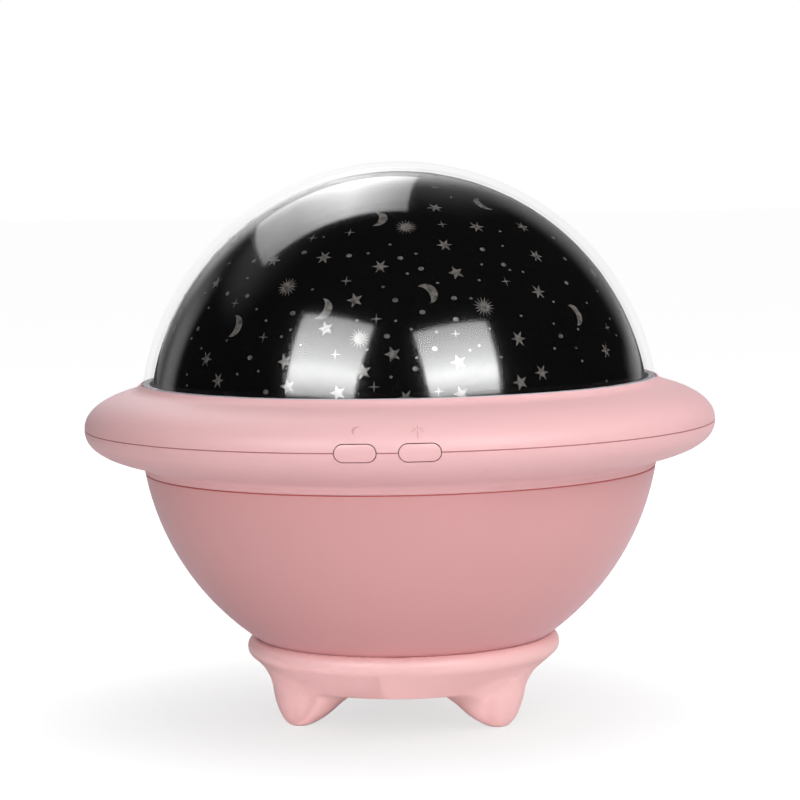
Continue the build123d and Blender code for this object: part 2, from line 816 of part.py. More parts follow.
with BuildPart() as upper_ring_shell:
    with BuildSketch(section):
        with BuildLine():
            top_share = saucer_share(lip_r + lip_foot, outer_semi, rise_power)
            outside = saucer_points(seam_bevel / saucer_rise, top_share, outer_semi, saucer_rise, rise_power)
            outer_curve = Spline(*outside)
            TangentArc(outside[-1], (lip_r, lip_h - lip_round), tangent=outer_curve % 1)
            inner_share = saucer_share(socket_r + socket_wall, inner_semi, rise_power)
            inside = saucer_points(inner_share, 0, inner_semi, inner_rise, rise_power)
            Polyline(
                (lip_r, lip_h - lip_round),
                (lip_r - lip_round, lip_h),
                (socket_r + lip_round, lip_h),
                (socket_r, lip_h - lip_round),
                (socket_r, ledge_t),
                (ledge_in_r, ledge_t),
                (ledge_in_r, 0),
                (socket_r + socket_wall, 0),
                inside[0],
            )
            Spline(*inside)
            Polyline(inside[-1], (saucer_r - seam_bevel, 0), outside[0])
        make_face()
    revolve(axis=Axis.Z)
    add(wall_pads.part)
    split(bisect_by=at_height(0), keep=Keep.TOP)
    add(wall_cuts.part, mode=Mode.SUBTRACT)
    with BuildSketch(at_height(0)):
        with Locations(*housing_places):
            Circle(m3_shank_r + hole_play)
    extrude(amount=ledge_t, mode=Mode.SUBTRACT)
upper_ring_shell.part.label = "upper_ring_shell"
export_step(upper_ring_shell.part, "parts/upper_ring_shell.step")

button_post_places = [(sx * button_post_x, -button_post_y + button_post_d / 2) for sx in (-1, 1)]
usb_screw_places = [(sx * usb_screw_x, usb_screw_y) for sx in (-1, 1)]
boss_root_h = lower_ledge_h - boss_root      # posts run down into the shell's wall

with BuildPart() as lower_ring_shell:
    with BuildSketch(section):
        with BuildLine():
            end_share = saucer_share(collar_r + collar_fillet, outer_semi, drop_power)
            seam_share = seam_bevel / saucer_drop
            outside = saucer_points(-seam_share, -end_share, outer_semi, saucer_drop, drop_power)
            outer_curve = Spline(*outside)
            collar_top_h = outside[-1][1] - collar_fillet
            TangentArc(outside[-1], (collar_r, collar_top_h), tangent=outer_curve % 1)
            inside = saucer_points(lower_ledge_h / inner_drop, 0, inner_semi, inner_drop, drop_power)
            Polyline(
                (collar_r, collar_top_h),
                (collar_r, collar_end_h + collar_bevel),
                (collar_r - collar_bevel, collar_end_h),
                (collar_in_r, collar_end_h),
                (collar_in_r, bowl_top_h),
                (ledge_in_r, bowl_top_h),
                (ledge_in_r, lower_ledge_h),
                inside[0],
            )
            Spline(*inside)
            Polyline(inside[-1], (saucer_r - seam_bevel, 0), outside[0])
        make_face()
    revolve(axis=Axis.Z)
    add(wall_pads.part)
    split(bisect_by=at_height(0), keep=Keep.BOTTOM)
    add(wall_cuts.part, mode=Mode.SUBTRACT)
    with BuildSketch(at_height(lower_ledge_h)):
        with Locations(*housing_places):
            Circle(housing_boss_r)
    extrude(amount=spacer_l)
    with BuildSketch(at_height(boss_root_h)):
        with Locations(*button_post_places):
            Rectangle(button_post_w, button_post_d)
    extrude(amount=-button_post_gap - boss_root_h)
    with BuildSketch(at_height(boss_root_h)):
        with Locations(*usb_screw_places):
            Circle(usb_boss_r)
    extrude(amount=usb_under_h - boss_root_h)
    with BuildSketch(at_height(bowl_top_h)):
        with Locations(*housing_places):
            Circle(m3_shank_r + hole_play)
    extrude(amount=spacer_l + ledge_t, mode=Mode.SUBTRACT)
    with BuildSketch(facing_front(button_post_y)):
        with Locations(*[(sx * button_post_x, button_screw_h) for sx in (-1, 1)]):
            Circle(m2_shank_r + pilot_play)
    extrude(amount=-button_post_d, mode=Mode.SUBTRACT)
    with BuildSketch(at_height(usb_under_h)):
        with Locations(*usb_screw_places):
            Circle(m2_shank_r + pilot_play)
    extrude(amount=-(usb_screw_l - usb_board_t + screw_tip_room), mode=Mode.SUBTRACT)
lower_ring_shell.part.label = "lower_ring_shell"
export_step(lower_ring_shell.part, "parts/lower_ring_shell.step")

# ================================================================ bowl
base_screw_places = [polar(base_screw_circle_r, a) for a in base_screw_angles]
cradle_places = [(sx * cradle_post_x, sy * cradle_post_y) for sx in (-1, 1) for sy in (-1, 1)]
cradle_under_z = cell_z - cell_r - cradle_floor_t
base_screw_seat_z = base_floor_z + base_screw_recess

# screw bosses and posts, trimmed so that they end inside the bowl's wall
with BuildPart() as bowl_bosses:
    with BuildSketch(at_height(bowl_top_h)):
        with Locations(*housing_places):
            Circle(housing_boss_r)
    extrude(amount=-housing_boss_l)
    with BuildSketch(Plane.XY.offset(bowl_floor_z)):
        with Locations(*base_screw_places):
            Circle(base_boss_r)
    extrude(amount=base_boss_l)
    with BuildSketch(Plane.XY.offset(bowl_floor_z)):
        with Locations(*cradle_places):
            Circle(cradle_post_r)
    extrude(amount=cradle_under_z - bowl_floor_z)
    with Locations((0, 0, mid_z)):
        Sphere(ball_r - bowl_wall / 2, mode=Mode.INTERSECT)

with BuildPart() as bowl:
    with BuildSketch(section):
        inner_floor_h = bowl_flat_h + bowl_wall
        spigot_join_h = -on_ball(bowl_in_r, spigot_in_r)
        with BuildLine():
            round_end_h = collar_end_h - bowl_rim_round
            rim_start = (bowl_rim_r - bowl_rim_round, collar_end_h)
            Polyline((spigot_r, bowl_top_h), (spigot_r, collar_end_h), rim_start)
            TangentArc(rim_start, (on_ball(ball_r, round_end_h), round_end_h), tangent=(1, 0))
            ball_arc(ball_r, round_end_h, bowl_flat_h)
            Polyline(
                (on_ball(ball_r, bowl_flat_h), bowl_flat_h),
                (0, bowl_flat_h),
                (0, inner_floor_h),
                (on_ball(bowl_in_r, inner_floor_h), inner_floor_h),
            )
            ball_arc(bowl_in_r, inner_floor_h, spigot_join_h)
            Polyline((spigot_in_r, spigot_join_h), (spigot_in_r, bowl_top_h), (spigot_r, bowl_top_h))
        make_face()
    revolve(axis=Axis.Z)
    add(bowl_bosses.part)
    with BuildSketch(at_height(bowl_top_h)):
        with Locations(*housing_places):
            Circle(m3_shank_r + pilot_play)
    extrude(amount=-(housing_screw_l - ledge_t + bowl_top_h + tip_gap), mode=Mode.SUBTRACT)
    with BuildSketch(Plane.XY.offset(bowl_floor_z)):
        with Locations(*base_screw_places):
            Circle(m3_shank_r + pilot_play)
    extrude(amount=base_screw_seat_z + base_screw_l + tip_gap - bowl_floor_z, mode=Mode.SUBTRACT)
    with BuildSketch(Plane.XY.offset(cradle_under_z)):
        with Locations(*cradle_places):
            Circle(m2_shank_r + pilot_play)
    extrude(amount=-(cradle_screw_l - cradle_floor_t + tip_gap), mode=Mode.SUBTRACT)
bowl.part.label = "bowl"
export_step(bowl.part, "parts/bowl.step")

screws("housing_screws", at_height(ledge_t), housing_places, *screw_size("m3"), housing_screw_l)

# ================================================================ foot base
base_top_z = base_floor_z + base_wall
seat_ball_r = ball_r + base_fit

# where the bead's circle crosses the ball that it seats
bead_away = sqrt(bead_r**2 + (mid_z - base_rim_z)**2)
bead_along = (seat_ball_r**2 - base_bead_r**2 + bead_away**2) / (2 * bead_away)
bead_across = sqrt(seat_ball_r**2 - bead_along**2)
out, up = bead_r / bead_away, (base_rim_z - mid_z) / bead_away
seat_outer = (bead_along * out - bead_across * up, mid_z + bead_along * up + bead_across * out)
seat_inner = (bead_along * out + bead_across * up, mid_z + bead_along * up - bead_across * out)
seat_middle = (seat_ball_r * out, mid_z + seat_ball_r * up)

# the sloping side runs from the floor's edge to touch the bead
side_run = (bead_r - base_floor_r, base_rim_z - base_floor_z)
side_away = sqrt(side_run[0]**2 + side_run[1]**2)
side_angle = acos(side_run[0] / side_away) - asin(base_bead_r / side_away)
side_touch = (bead_r + base_bead_r * sin(side_angle), base_rim_z - base_bead_r * cos(side_angle))
side_floor_r = base_floor_r + base_wall * ((1 - cos(side_angle)) / tan(side_angle) - sin(side_angle))
side_inner_z = base_top_z + (seat_inner[0] - side_floor_r) * tan(side_angle)

with BuildPart() as foot_blank:
    for height, inset, radius in [(0, 0, foot_tip_flat)] + foot_sections:
        with BuildSketch(Plane.XY.offset(height)):
            with Locations((foot_tip_r - inset, 0)):
                Circle(radius)
    loft()

with BuildPart() as foot_hollow:
    for height, (inset, radius) in ((foot_hollow_z, foot_hollow_tip), (base_top_z, foot_hollow_mouth)):
        with BuildSketch(Plane.XY.offset(height)):
            with Locations((foot_tip_r - inset, 0)):
                Circle(radius)
    loft()

with BuildPart() as foot_base:
    with BuildSketch(floor_section):
        with BuildLine():
            ThreePointArc(seat_inner, seat_middle, seat_outer)
            ThreePointArc(seat_outer, (bead_r + base_bead_r, base_rim_z), side_touch)
            Polyline(
                side_touch,
                (base_floor_r, base_floor_z),
                (0, base_floor_z),
                (0, base_top_z),
                (side_floor_r, base_top_z),
                (seat_inner[0], side_inner_z),
                seat_inner,
            )
        make_face()
    revolve(axis=Axis.Z)
    with PolarLocations(0, foot_count, start_angle=foot_angles[0]):
        add(foot_blank.part)
    with BuildSketch(floor_section):
        with BuildLine():
            Polyline(
                (0, base_top_z),
                (side_floor_r, base_top_z),
                (seat_inner[0], side_inner_z),
                (seat_inner[0], base_rim_z),
                (0, base_rim_z),
                close=True,
            )
        make_face()
    revolve(axis=Axis.Z, mode=Mode.SUBTRACT)
    with PolarLocations(0, foot_count, start_angle=foot_angles[0]):
        add(foot_hollow.part, mode=Mode.SUBTRACT)
    with BuildSketch(Plane.XY.offset(base_floor_z)):
        with Locations(*base_screw_places):
            Circle(m3_shank_r + hole_play)
    extrude(amount=base_wall, mode=Mode.SUBTRACT)
    with BuildSketch(Plane.XY.offset(base_floor_z)):
        with Locations(*base_screw_places):
            Circle(m3_head_r + hole_play)
    extrude(amount=base_screw_recess, mode=Mode.SUBTRACT)
foot_base.part.label = "foot_base"
export_step(foot_base.part, "parts/foot_base.step")

screws(
    "base_screws", looking_down(base_screw_seat_z - mid_z), [(x, -y) for x, y in base_screw_places],
    *screw_size("m3"), base_screw_l,
)

# ================================================================ buttons, plungers and switches
saucer_outside = saucer_solid(0)
for side, button_x in zip(("left", "right"), button_xs):
    with BuildPart() as button:
        with BuildSketch(facing_front(button_seat_face_y)):
            with Locations((button_x, 0)):
                SlotOverall(button_w, button_h)
        extrude(amount=saucer_r - button_seat_face_y)
        add(saucer_outside, mode=Mode.INTERSECT)
        with BuildSketch(facing_front(button_seat_face_y)):
            with Locations((button_x, 0)):
                SlotOverall(button_w + 2 * button_flange, button_h + 2 * button_flange)
        extrude(amount=-button_flange_t)
    button.part.label = f"{side}_button"
    export_step(button.part, f"parts/{side}_button.step")

    with BuildPart() as plunger:
        with BuildSketch(facing_front(button_rear_y)):
            with Locations((button_x, 0)):
                Circle(plunger_r)
        extrude(amount=-(plunger_out + plunger_in))
    plunger.part.label = f"{side}_plunger"
    export_step(plunger.part, f"parts/{side}_plunger.step")

    with BuildPart() as switch:
        with BuildSketch(facing_front(switch_face_y)):
            with Locations((button_x, 0)):
                Rectangle(switch_w, switch_w)
        extrude(amount=-switch_t)
        with BuildSketch(facing_front(switch_face_y)):
            with Locations((button_x, 0)):
                Circle(plunger_r + plunger_play)
        extrude(amount=-(plunger_in + button_travel + button_gap), mode=Mode.SUBTRACT)
    switch.part.label = f"{side}_switch"
    export_step(switch.part, f"parts/{side}_switch.step")

with BuildPart() as button_board:
    with BuildSketch(facing_front(button_board_y)):
        Rectangle(button_board_w, button_board_h)
        with Locations(*[(sx * button_post_x, button_screw_h) for sx in (-1, 1)]):
            Circle(m2_shank_r + hole_play, mode=Mode.SUBTRACT)
    extrude(amount=-board_t)
button_board.part.label = "button_board"
export_step(button_board.part, "parts/button_board.step")

screws(
    "button_board_screws", facing_front(button_board_y),
    [(sx * button_post_x, button_screw_h) for sx in (-1, 1)], *screw_size("m2"), button_screw_l,
)

# ================================================================ charging socket and its board
with BuildPart() as usb_board:
    with BuildSketch(at_height(usb_under_h)):
        with Locations((0, (usb_board_in_y + usb_board_out_y) / 2)):
            Rectangle(usb_board_w, usb_board_out_y - usb_board_in_y)
        with Locations(*usb_screw_places):
            Circle(m2_shank_r + hole_play, mode=Mode.SUBTRACT)
    extrude(amount=usb_board_t)
usb_board.part.label = "usb_board"
export_step(usb_board.part, "parts/usb_board.step")

with BuildPart() as usb_socket:
    with BuildSketch(facing_back(port_face_y)):
        SlotOverall(port_w, port_h)
    extrude(amount=-port_l)
    with BuildSketch(facing_back(port_face_y)):
        SlotOverall(port_w - 2 * port_wall, port_h - 2 * port_wall)
    extrude(amount=-(port_l - port_back_t), mode=Mode.SUBTRACT)
    with BuildSketch(facing_back(port_face_y - port_l)):
        Rectangle(*port_tongue)
    extrude(amount=port_back_t + port_tongue_l)
usb_socket.part.label = "usb_socket"
export_step(usb_socket.part, "parts/usb_socket.step")

screws("usb_board_screws", at_height(usb_board_h), usb_screw_places, *screw_size("m2"), usb_screw_l)

# ================================================================ main board
with BuildPart() as main_board:
    with BuildSketch(at_height(main_under_h)):
        with Locations((main_board_x, 0)):
            Rectangle(main_board_w, main_board_d)
        with Locations(*main_places):
            Circle(m2_shank_r + hole_play, mode=Mode.SUBTRACT)
    extrude(amount=board_t)
main_board.part.label = "main_board"
export_step(main_board.part, "parts/main_board.step")

screws(
    "main_board_screws", looking_down(main_under_h), [(x, -y) for x, y in main_places],
    *screw_size("m2"), main_screw_l,
)

with BuildPart() as controller_chip:
    with BuildSketch(at_height(main_under_h)):
        with Locations((main_board_x - chip_size[0] / 2, 0)):
            Rectangle(chip_size[0], chip_size[1])
    extrude(amount=-chip_size[2])
controller_chip.part.label = "controller_chip"
export_step(controller_chip.part, "parts/controller_chip.step")

with BuildPart() as capacitors:
    with BuildSketch(at_height(main_under_h)):
        capacitor_away = capacitor_r + capacitor_gap
        with Locations(*[(main_board_x + capacitor_away, sy * capacitor_away) for sy in (-1, 1)]):
            Circle(capacitor_r)
    extrude(amount=-capacitor_l)
capacitors.part.label = "capacitors"
export_step(capacitors.part, "parts/capacitors.step")

# wire plugs: three on the inner edge of the main board, two on its outer edge, one on each small board
inner_plug_x = main_board_x - main_board_w / 2 + plug_inset + plug_d / 2
outer_plug_x = main_board_x + main_board_w / 2 - plug_inset - plug_d / 2
inner_plug_face_x = inner_plug_x - plug_d / 2
outer_plug_face_x = outer_plug_x + plug_d / 2
usb_plug_y = usb_board_in_y + board_plug[1] / 2 + usb_plug_inset
with BuildPart() as wire_plugs:
    with BuildSketch(at_height(main_under_h)):
        with Locations(*[(inner_plug_x, n * plug_pitch) for n in (-1, 0, 1)]):
            Rectangle(plug_d, plug_w)
        with Locations(*[(outer_plug_x, n * plug_pitch) for n in (-1, 1)]):
            Rectangle(plug_d, plug_w)
    extrude(amount=-plug_l)
    with BuildSketch(facing_front(button_post_y)):
        with Locations((0, board_plug_h)):
            Rectangle(board_plug[0], board_plug[1])
    extrude(amount=-board_plug[2])
    with BuildSketch(at_height(usb_under_h)):
        with Locations((0, usb_plug_y)):
            Rectangle(board_plug[0], board_plug[1])
    extrude(amount=-board_plug[2])
wire_plugs.part.label = "wire_plugs"
export_step(wire_plugs.part, "parts/wire_plugs.step")

# ================================================================ battery
with BuildPart() as battery_cell:
    with BuildSketch(Plane(origin=(-cell_l / 2, 0, cell_z), x_dir=(0, 1, 0), z_dir=(1, 0, 0))):
        Circle(cell_r)
    extrude(amount=cell_l)
    fillet(battery_cell.edges(), cell_round)
battery_cell.part.label = "battery_cell"
export_step(battery_cell.part, "parts/battery_cell.step")

contact_tab_z = cell_z + cell_r + contact_tab_up
with BuildPart() as battery_contacts:
    with BuildSketch(Plane(origin=(cell_l / 2, 0, cell_z), x_dir=(0, 1, 0), z_dir=(1, 0, 0))):
        Circle(contact_r)
        with Locations((0, (contact_tab_z - cell_z) / 2)):
            Rectangle(contact_tab_w, contact_tab_z - cell_z)
    extrude(amount=contact_t)
    with BuildSketch(Plane(origin=(-cell_l / 2, 0, cell_z), x_dir=(0, 1, 0), z_dir=(1, 0, 0))):
        Circle(contact_r)
    extrude(amount=-contact_t)
battery_contacts.part.label = "battery_contacts"
export_step(battery_contacts.part, "parts/battery_contacts.step")

cradle_in_w = 2 * (cell_r + cradle_play)
cradle_out_w = cradle_in_w + 2 * cradle_wall
cradle_in_l = cell_l + 2 * contact_t
cradle_out_l = cradle_in_l + 2 * cradle_wall
strap_screw_y = cradle_out_w / 2 + strap_boss_r - boss_root / 2
strap_places = [(0, -strap_screw_y), (0, strap_screw_y)]
cradle_floor_top_z = cradle_under_z + cradle_floor_t
with BuildPart() as battery_cradle:
    with BuildSketch(Plane.XY.offset(cradle_under_z)):
        Rectangle(cradle_out_l, cradle_out_w)
    extrude(amount=cell_z + cradle_end_up - cradle_under_z)
    with BuildSketch(Plane.XY.offset(cradle_floor_top_z)):
        Rectangle(cradle_in_l, cradle_in_w)
    extrude(amount=2 * cell_r, mode=Mode.SUBTRACT)
    with BuildSketch(Plane.XY.offset(cell_z)):
        Rectangle(cradle_in_l, cradle_out_w)
    extrude(amount=2 * cell_r, mode=Mode.SUBTRACT)
    with BuildSketch(Plane.XY.offset(cell_z - strap_boss_l)):
        with Locations(*strap_places):
            Circle(strap_boss_r)
    extrude(amount=strap_boss_l)
    with BuildSketch(Plane.XY.offset(cell_z)):
        with Locations(*strap_places):
            Circle(m2_shank_r + pilot_play)
    extrude(amount=-(strap_screw_l - strap_t + tip_gap), mode=Mode.SUBTRACT)
    with BuildSketch(Plane.XY.offset(cradle_under_z)):
        with Locations(*cradle_places):
            Circle(m2_shank_r + hole_play)
    extrude(amount=cradle_floor_t, mode=Mode.SUBTRACT)
battery_cradle.part.label = "battery_cradle"
export_step(battery_cradle.part, "parts/battery_cradle.step")

screws("cradle_screws", Plane.XY.offset(cradle_floor_top_z), cradle_places, *screw_size("m2"), cradle_screw_l)

with BuildPart() as battery_strap:
    with BuildSketch(Plane(origin=(-strap_w / 2, 0, cell_z), x_dir=(0, 1, 0), z_dir=(1, 0, 0))):
        Circle(cell_r + strap_t)
        with Locations((0, strap_t / 2)):
            Rectangle(2 * (strap_screw_y + strap_boss_r), strap_t)
        Circle(cell_r + strap_play, mode=Mode.SUBTRACT)
        with Locations((0, -cell_r)):
            Rectangle(4 * cell_r, 2 * cell_r, mode=Mode.SUBTRACT)
    extrude(amount=strap_w)
    with BuildSketch(Plane.XY.offset(cell_z)):
        with Locations(*strap_places):
            Circle(m2_shank_r + hole_play)
    extrude(amount=strap_t, mode=Mode.SUBTRACT)
battery_strap.part.label = "battery_strap"
export_step(battery_strap.part, "parts/battery_strap.step")

screws("strap_screws", Plane.XY.offset(cell_z + strap_t), strap_places, *screw_size("m2"), strap_screw_l)

# ================================================================ wires, each from what it feeds to its plug
plug_z = mid_z + plug_mid_h
small_plug_z = mid_z + board_plug_h
motor_lead_z = mid_z + motor_lead_h
cell_lead_z = contact_tab_z - wire_r
cell_lead_x = cell_l / 2 + contact_t
lead_end_x = outer_plug_face_x + plug_run
side_lead_y = deck_r - side_lead_inset
side_lead_x = main_board_x - side_lead_bend[0]
side_turn_x = lead_end_x - side_lead_turn[0]
tube_wire(
    [(0, 0, mid_z + head_floor_h), (0, 0, plug_z), (inner_plug_face_x, 0, plug_z)],
    [led_lead_bend], "led_wire",
)
tube_wire(
    [
        (motor_x + gearbox_w / 2, 0, motor_lead_z),
        (motor_lead_x, 0, motor_lead_z),
        (inner_plug_face_x - motor_lead_up_run, plug_pitch, plug_z),
        (inner_plug_face_x, plug_pitch, plug_z),
    ],
    [wire_bend, wire_bend], "motor_wire",
)
tube_wire(
    [
        (cell_lead_x, 0, cell_lead_z),
        (cell_lead_x + cell_lead_run, 0, cell_lead_z),
        (cell_lead_x + cell_lead_run - cell_lead_back[0], cell_lead_back[1], mid_z + cell_lead_h),
        (inner_plug_face_x - cell_lead_up_run[0], -plug_pitch, mid_z + cell_lead_up_h),
        (inner_plug_face_x - cell_lead_up_run[1], -plug_pitch, plug_z),
        (inner_plug_face_x, -plug_pitch, plug_z),
    ],
    [cell_lead_bend, wire_small_bend, wire_small_bend, wire_small_bend], "battery_wire",
)
side_lead_bends = [wire_bend, wire_bend, led_lead_bend, wire_small_bend]
tube_wire(
    [
        (0, -button_post_y + board_plug[2], small_plug_z),
        (0, -side_lead_y, small_plug_z),
        (side_lead_x, -side_lead_bend[1], plug_z),
        (side_turn_x, -side_lead_turn[1], plug_z),
        (lead_end_x, -plug_pitch, plug_z),
        (outer_plug_face_x, -plug_pitch, plug_z),
    ],
    side_lead_bends, "button_wire",
)
tube_wire(
    [
        (0, usb_plug_y - board_plug[1] / 2, small_plug_z),
        (0, side_lead_y, small_plug_z),
        (side_lead_x, side_lead_bend[1], plug_z),
        (side_turn_x, side_lead_turn[1], plug_z),
        (lead_end_x, plug_pitch, plug_z),
        (outer_plug_face_x, plug_pitch, plug_z),
    ],
    side_lead_bends, "usb_wire",
)
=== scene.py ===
import random
from math import asin, cos, pi, radians, sin, sqrt

import bmesh
import bpy
from mathutils import Matrix, Vector
from mathutils.bvhtree import BVHTree


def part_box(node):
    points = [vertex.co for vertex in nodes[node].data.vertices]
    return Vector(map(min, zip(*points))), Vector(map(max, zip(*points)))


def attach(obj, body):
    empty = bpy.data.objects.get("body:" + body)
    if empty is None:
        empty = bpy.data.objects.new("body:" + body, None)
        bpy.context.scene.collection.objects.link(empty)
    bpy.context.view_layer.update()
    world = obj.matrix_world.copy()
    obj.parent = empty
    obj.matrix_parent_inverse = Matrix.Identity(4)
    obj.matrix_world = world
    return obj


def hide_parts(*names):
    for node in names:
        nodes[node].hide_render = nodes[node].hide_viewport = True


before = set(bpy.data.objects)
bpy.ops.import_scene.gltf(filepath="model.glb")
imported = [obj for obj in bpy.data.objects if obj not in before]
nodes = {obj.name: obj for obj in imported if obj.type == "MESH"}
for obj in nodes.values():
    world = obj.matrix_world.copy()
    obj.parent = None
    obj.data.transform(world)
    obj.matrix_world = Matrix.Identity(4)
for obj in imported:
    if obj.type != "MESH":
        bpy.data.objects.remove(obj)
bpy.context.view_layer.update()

# ------------------------------------------------------------------------------------------------- camera
# A long lens on a tripod, a little above the saucer and a little to the right of the two buttons, tipped
# down by under five degrees and a touch out of level.
camera_away = 0.690
camera_height = 0.1392
camera_side = 0.00016
camera_round = radians(2.1)
camera_pitch = radians(4.81)
camera_roll = radians(1.03)
frame_width = 800
camera_pixels = 2712.8              # focal length over the width of one pixel of such a frame

round_object = Matrix.Rotation(camera_round, 3, "Z")
camera_spot = round_object @ Vector((camera_side, -camera_away, camera_height))
level_up = Vector((0, sin(camera_pitch), cos(camera_pitch)))
look = Vector((0, cos(camera_pitch), -sin(camera_pitch)))
camera_right = Vector((1, 0, 0)) * cos(camera_roll) - level_up * sin(camera_roll)
camera_up = Vector((1, 0, 0)) * sin(camera_roll) + level_up * cos(camera_roll)
camera_axes = round_object @ Matrix((camera_right, camera_up, -look)).transposed()

sensor_width = 36
camera_data = bpy.data.cameras.new("camera")
camera_data.sensor_width = sensor_width
camera_data.lens = camera_pixels * sensor_width / frame_width
camera_data.clip_start = 0.05
camera_data.clip_end = 20
camera = bpy.data.objects.new("camera", camera_data)
camera.matrix_world = Matrix.Translation(camera_spot) @ camera_axes.to_4x4()
bpy.context.scene.collection.objects.link(camera)
bpy.context.scene.camera = camera
bpy.context.scene.view_settings.view_transform = "Standard"


def sight(across, down):
    """Direction from the camera to a place of the frame."""
    off_middle = Vector((across - frame_width / 2, frame_width / 2 - down, -camera_pixels))
    return (camera_axes @ off_middle).normalized()


# ------------------------------------------------------------------------------------------------- studio
# A pale table that runs into a pale wall. Two windows in front, a strip overhead and a dim room show only
# in the gloss. Ten soft boxes all round and a low beam at the feet make only the light.
class Wire:
    """A socket of a finish. Sums on it add Math nodes."""

    def __init__(self, finish, socket):
        self.finish = finish
        self.socket = socket

    def maths(self, operation, *values):
        return self.finish.node("ShaderNodeMath", {"operation": operation}, *values)

    def __add__(self, other):
        return self.maths("ADD", self, other)

    def __radd__(self, other):
        return self.maths("ADD", other, self)

    def __sub__(self, other):
        return self.maths("SUBTRACT", self, other)

    def __rsub__(self, other):
        return self.maths("SUBTRACT", other, self)

    def __mul__(self, other):
        return self.maths("MULTIPLY", self, other)

    def __rmul__(self, other):
        return self.maths("MULTIPLY", other, self)

    def __truediv__(self, other):
        return self.maths("DIVIDE", self, other)

    def __pow__(self, other):
        return self.maths("POWER", self, other)

    def above(self, edge, soft):
        """0 well under the edge, 1 well over it, and a smooth step between."""
        return self.finish.node(
            "ShaderNodeMapRange", {"interpolation_type": "SMOOTHSTEP"},
            Value=self, From_Min=edge - soft, From_Max=edge + soft,
        )


class Finish:
    """A node tree in the making, of a material or of the world."""

    def __init__(self, name, tree=None):
        if tree is None:
            self.material = bpy.data.materials.new(name)
            self.material.use_nodes = True
            tree = self.material.node_tree
        self.tree = tree
        self.tree.nodes.clear()

    def node(self, kind, settings=None, *values, out=0, **named):
        """Adds a node: settings first, then its sockets by place or by name, with _ for a space."""
        made = self.tree.nodes.new(kind)
        for key, value in (settings or {}).items():
            if key == "stops":
                ramp = made.color_ramp
                while len(ramp.elements) < len(value):
                    ramp.elements.new(0.5)
                for element, (place, colour) in zip(ramp.elements, value):
                    element.position = place
                    element.color = colour
            else:
                setattr(made, key, value)
        sockets = [(made.inputs[i], v) for i, v in enumerate(values)]
        for key, value in named.items():
            name = key.replace("_", " ")
            found = [s for s in made.inputs if s.name == name and s.enabled]
            sockets.append((found[0], value))
        for socket, value in sockets:
            if isinstance(value, Wire):
                self.tree.links.new(value.socket, socket)
            else:
                socket.default_value = value
        return Wire(self, made.outputs[out]) if made.outputs else None

    def mix(self, share, first, second):
        """Blend of two colours."""
        return self.node("ShaderNodeMix", {"data_type": "RGBA"}, share, out=2, A=first, B=second)

    def plastic(self, **named):
        """The principled shader, wired to the material's output."""
        shader = self.node("ShaderNodeBsdfPrincipled", {}, **named)
        self.node("ShaderNodeOutputMaterial", {}, shader)
        return self.material


def paint(red, green, blue):
    """A colour from its usual 0 to 255 values."""
    shares = [v / 255 for v in (red, green, blue)]
    return (*[s / 12.92 if s <= 0.04045 else ((s + 0.055) / 1.055) ** 2.4 for s in shares], 1)


floor_reach = 8
bounced_white = (0.82, 0.82, 0.82)  # what the object gets back from the table
lit_grey = (0.235, 0.25, 0.25)      # what takes the shadow
glow_in_painted_shadow = 0.66                    # the table's own glow under the object, lowered there as a painted shadow, and how much more it is far out
painted_shadow_depth = 0.31
painted_shadow_edge = 0.080
painted_shadow_soft = 0.075

floor_mesh = bmesh.new()
bmesh.ops.create_grid(floor_mesh, x_segments=1, y_segments=1, size=floor_reach)
floor_data = bpy.data.meshes.new("floor")
floor_mesh.to_mesh(floor_data)
floor_mesh.free()
floor = bpy.data.objects.new("floor", floor_data)
bpy.context.scene.collection.objects.link(floor)
table_top = Finish("table_top")
seen = table_top.node("ShaderNodeLightPath", out="Is Camera Ray")
table_place = table_top.node("ShaderNodeTexCoord", out="Object")
table_out = table_top.node("ShaderNodeVectorMath", {"operation": "LENGTH"}, table_place, out="Value")
see_through = table_top.node("ShaderNodeLightPath", out="Is Transmission Ray")
white_table = table_top.node("ShaderNodeBsdfDiffuse", {}, Color=(*bounced_white, 1))
grey_table = table_top.node("ShaderNodeBsdfDiffuse", {}, Color=(*lit_grey, 1))
# Painted shadow: the table's glow dims towards its middle, under the object, within about 15 cm.
glow_with_painted_shadow = table_top.node(
    "ShaderNodeEmission", {}, Color=(1, 1, 1, 1),
    Strength=glow_in_painted_shadow + painted_shadow_depth * table_out.above(painted_shadow_edge, painted_shadow_soft),
)
lit_table = table_top.node("ShaderNodeAddShader", {}, grey_table, glow_with_painted_shadow)
table_sum = table_top.node("ShaderNodeMixShader", {}, seen + see_through, white_table, lit_table)
table_top.node("ShaderNodeOutputMaterial", {}, table_sum)
floor_data.materials.append(table_top.material)

world = bpy.data.worlds.new("studio")
bpy.context.scene.world = world
world.use_nodes = True
room = Finish("room", world.node_tree)
toward = room.node("ShaderNodeTexCoord", out="Generated")
toward_x, toward_y, toward_z = (room.node("ShaderNodeSeparateXYZ", {}, toward, out=axis) for axis in "XYZ")

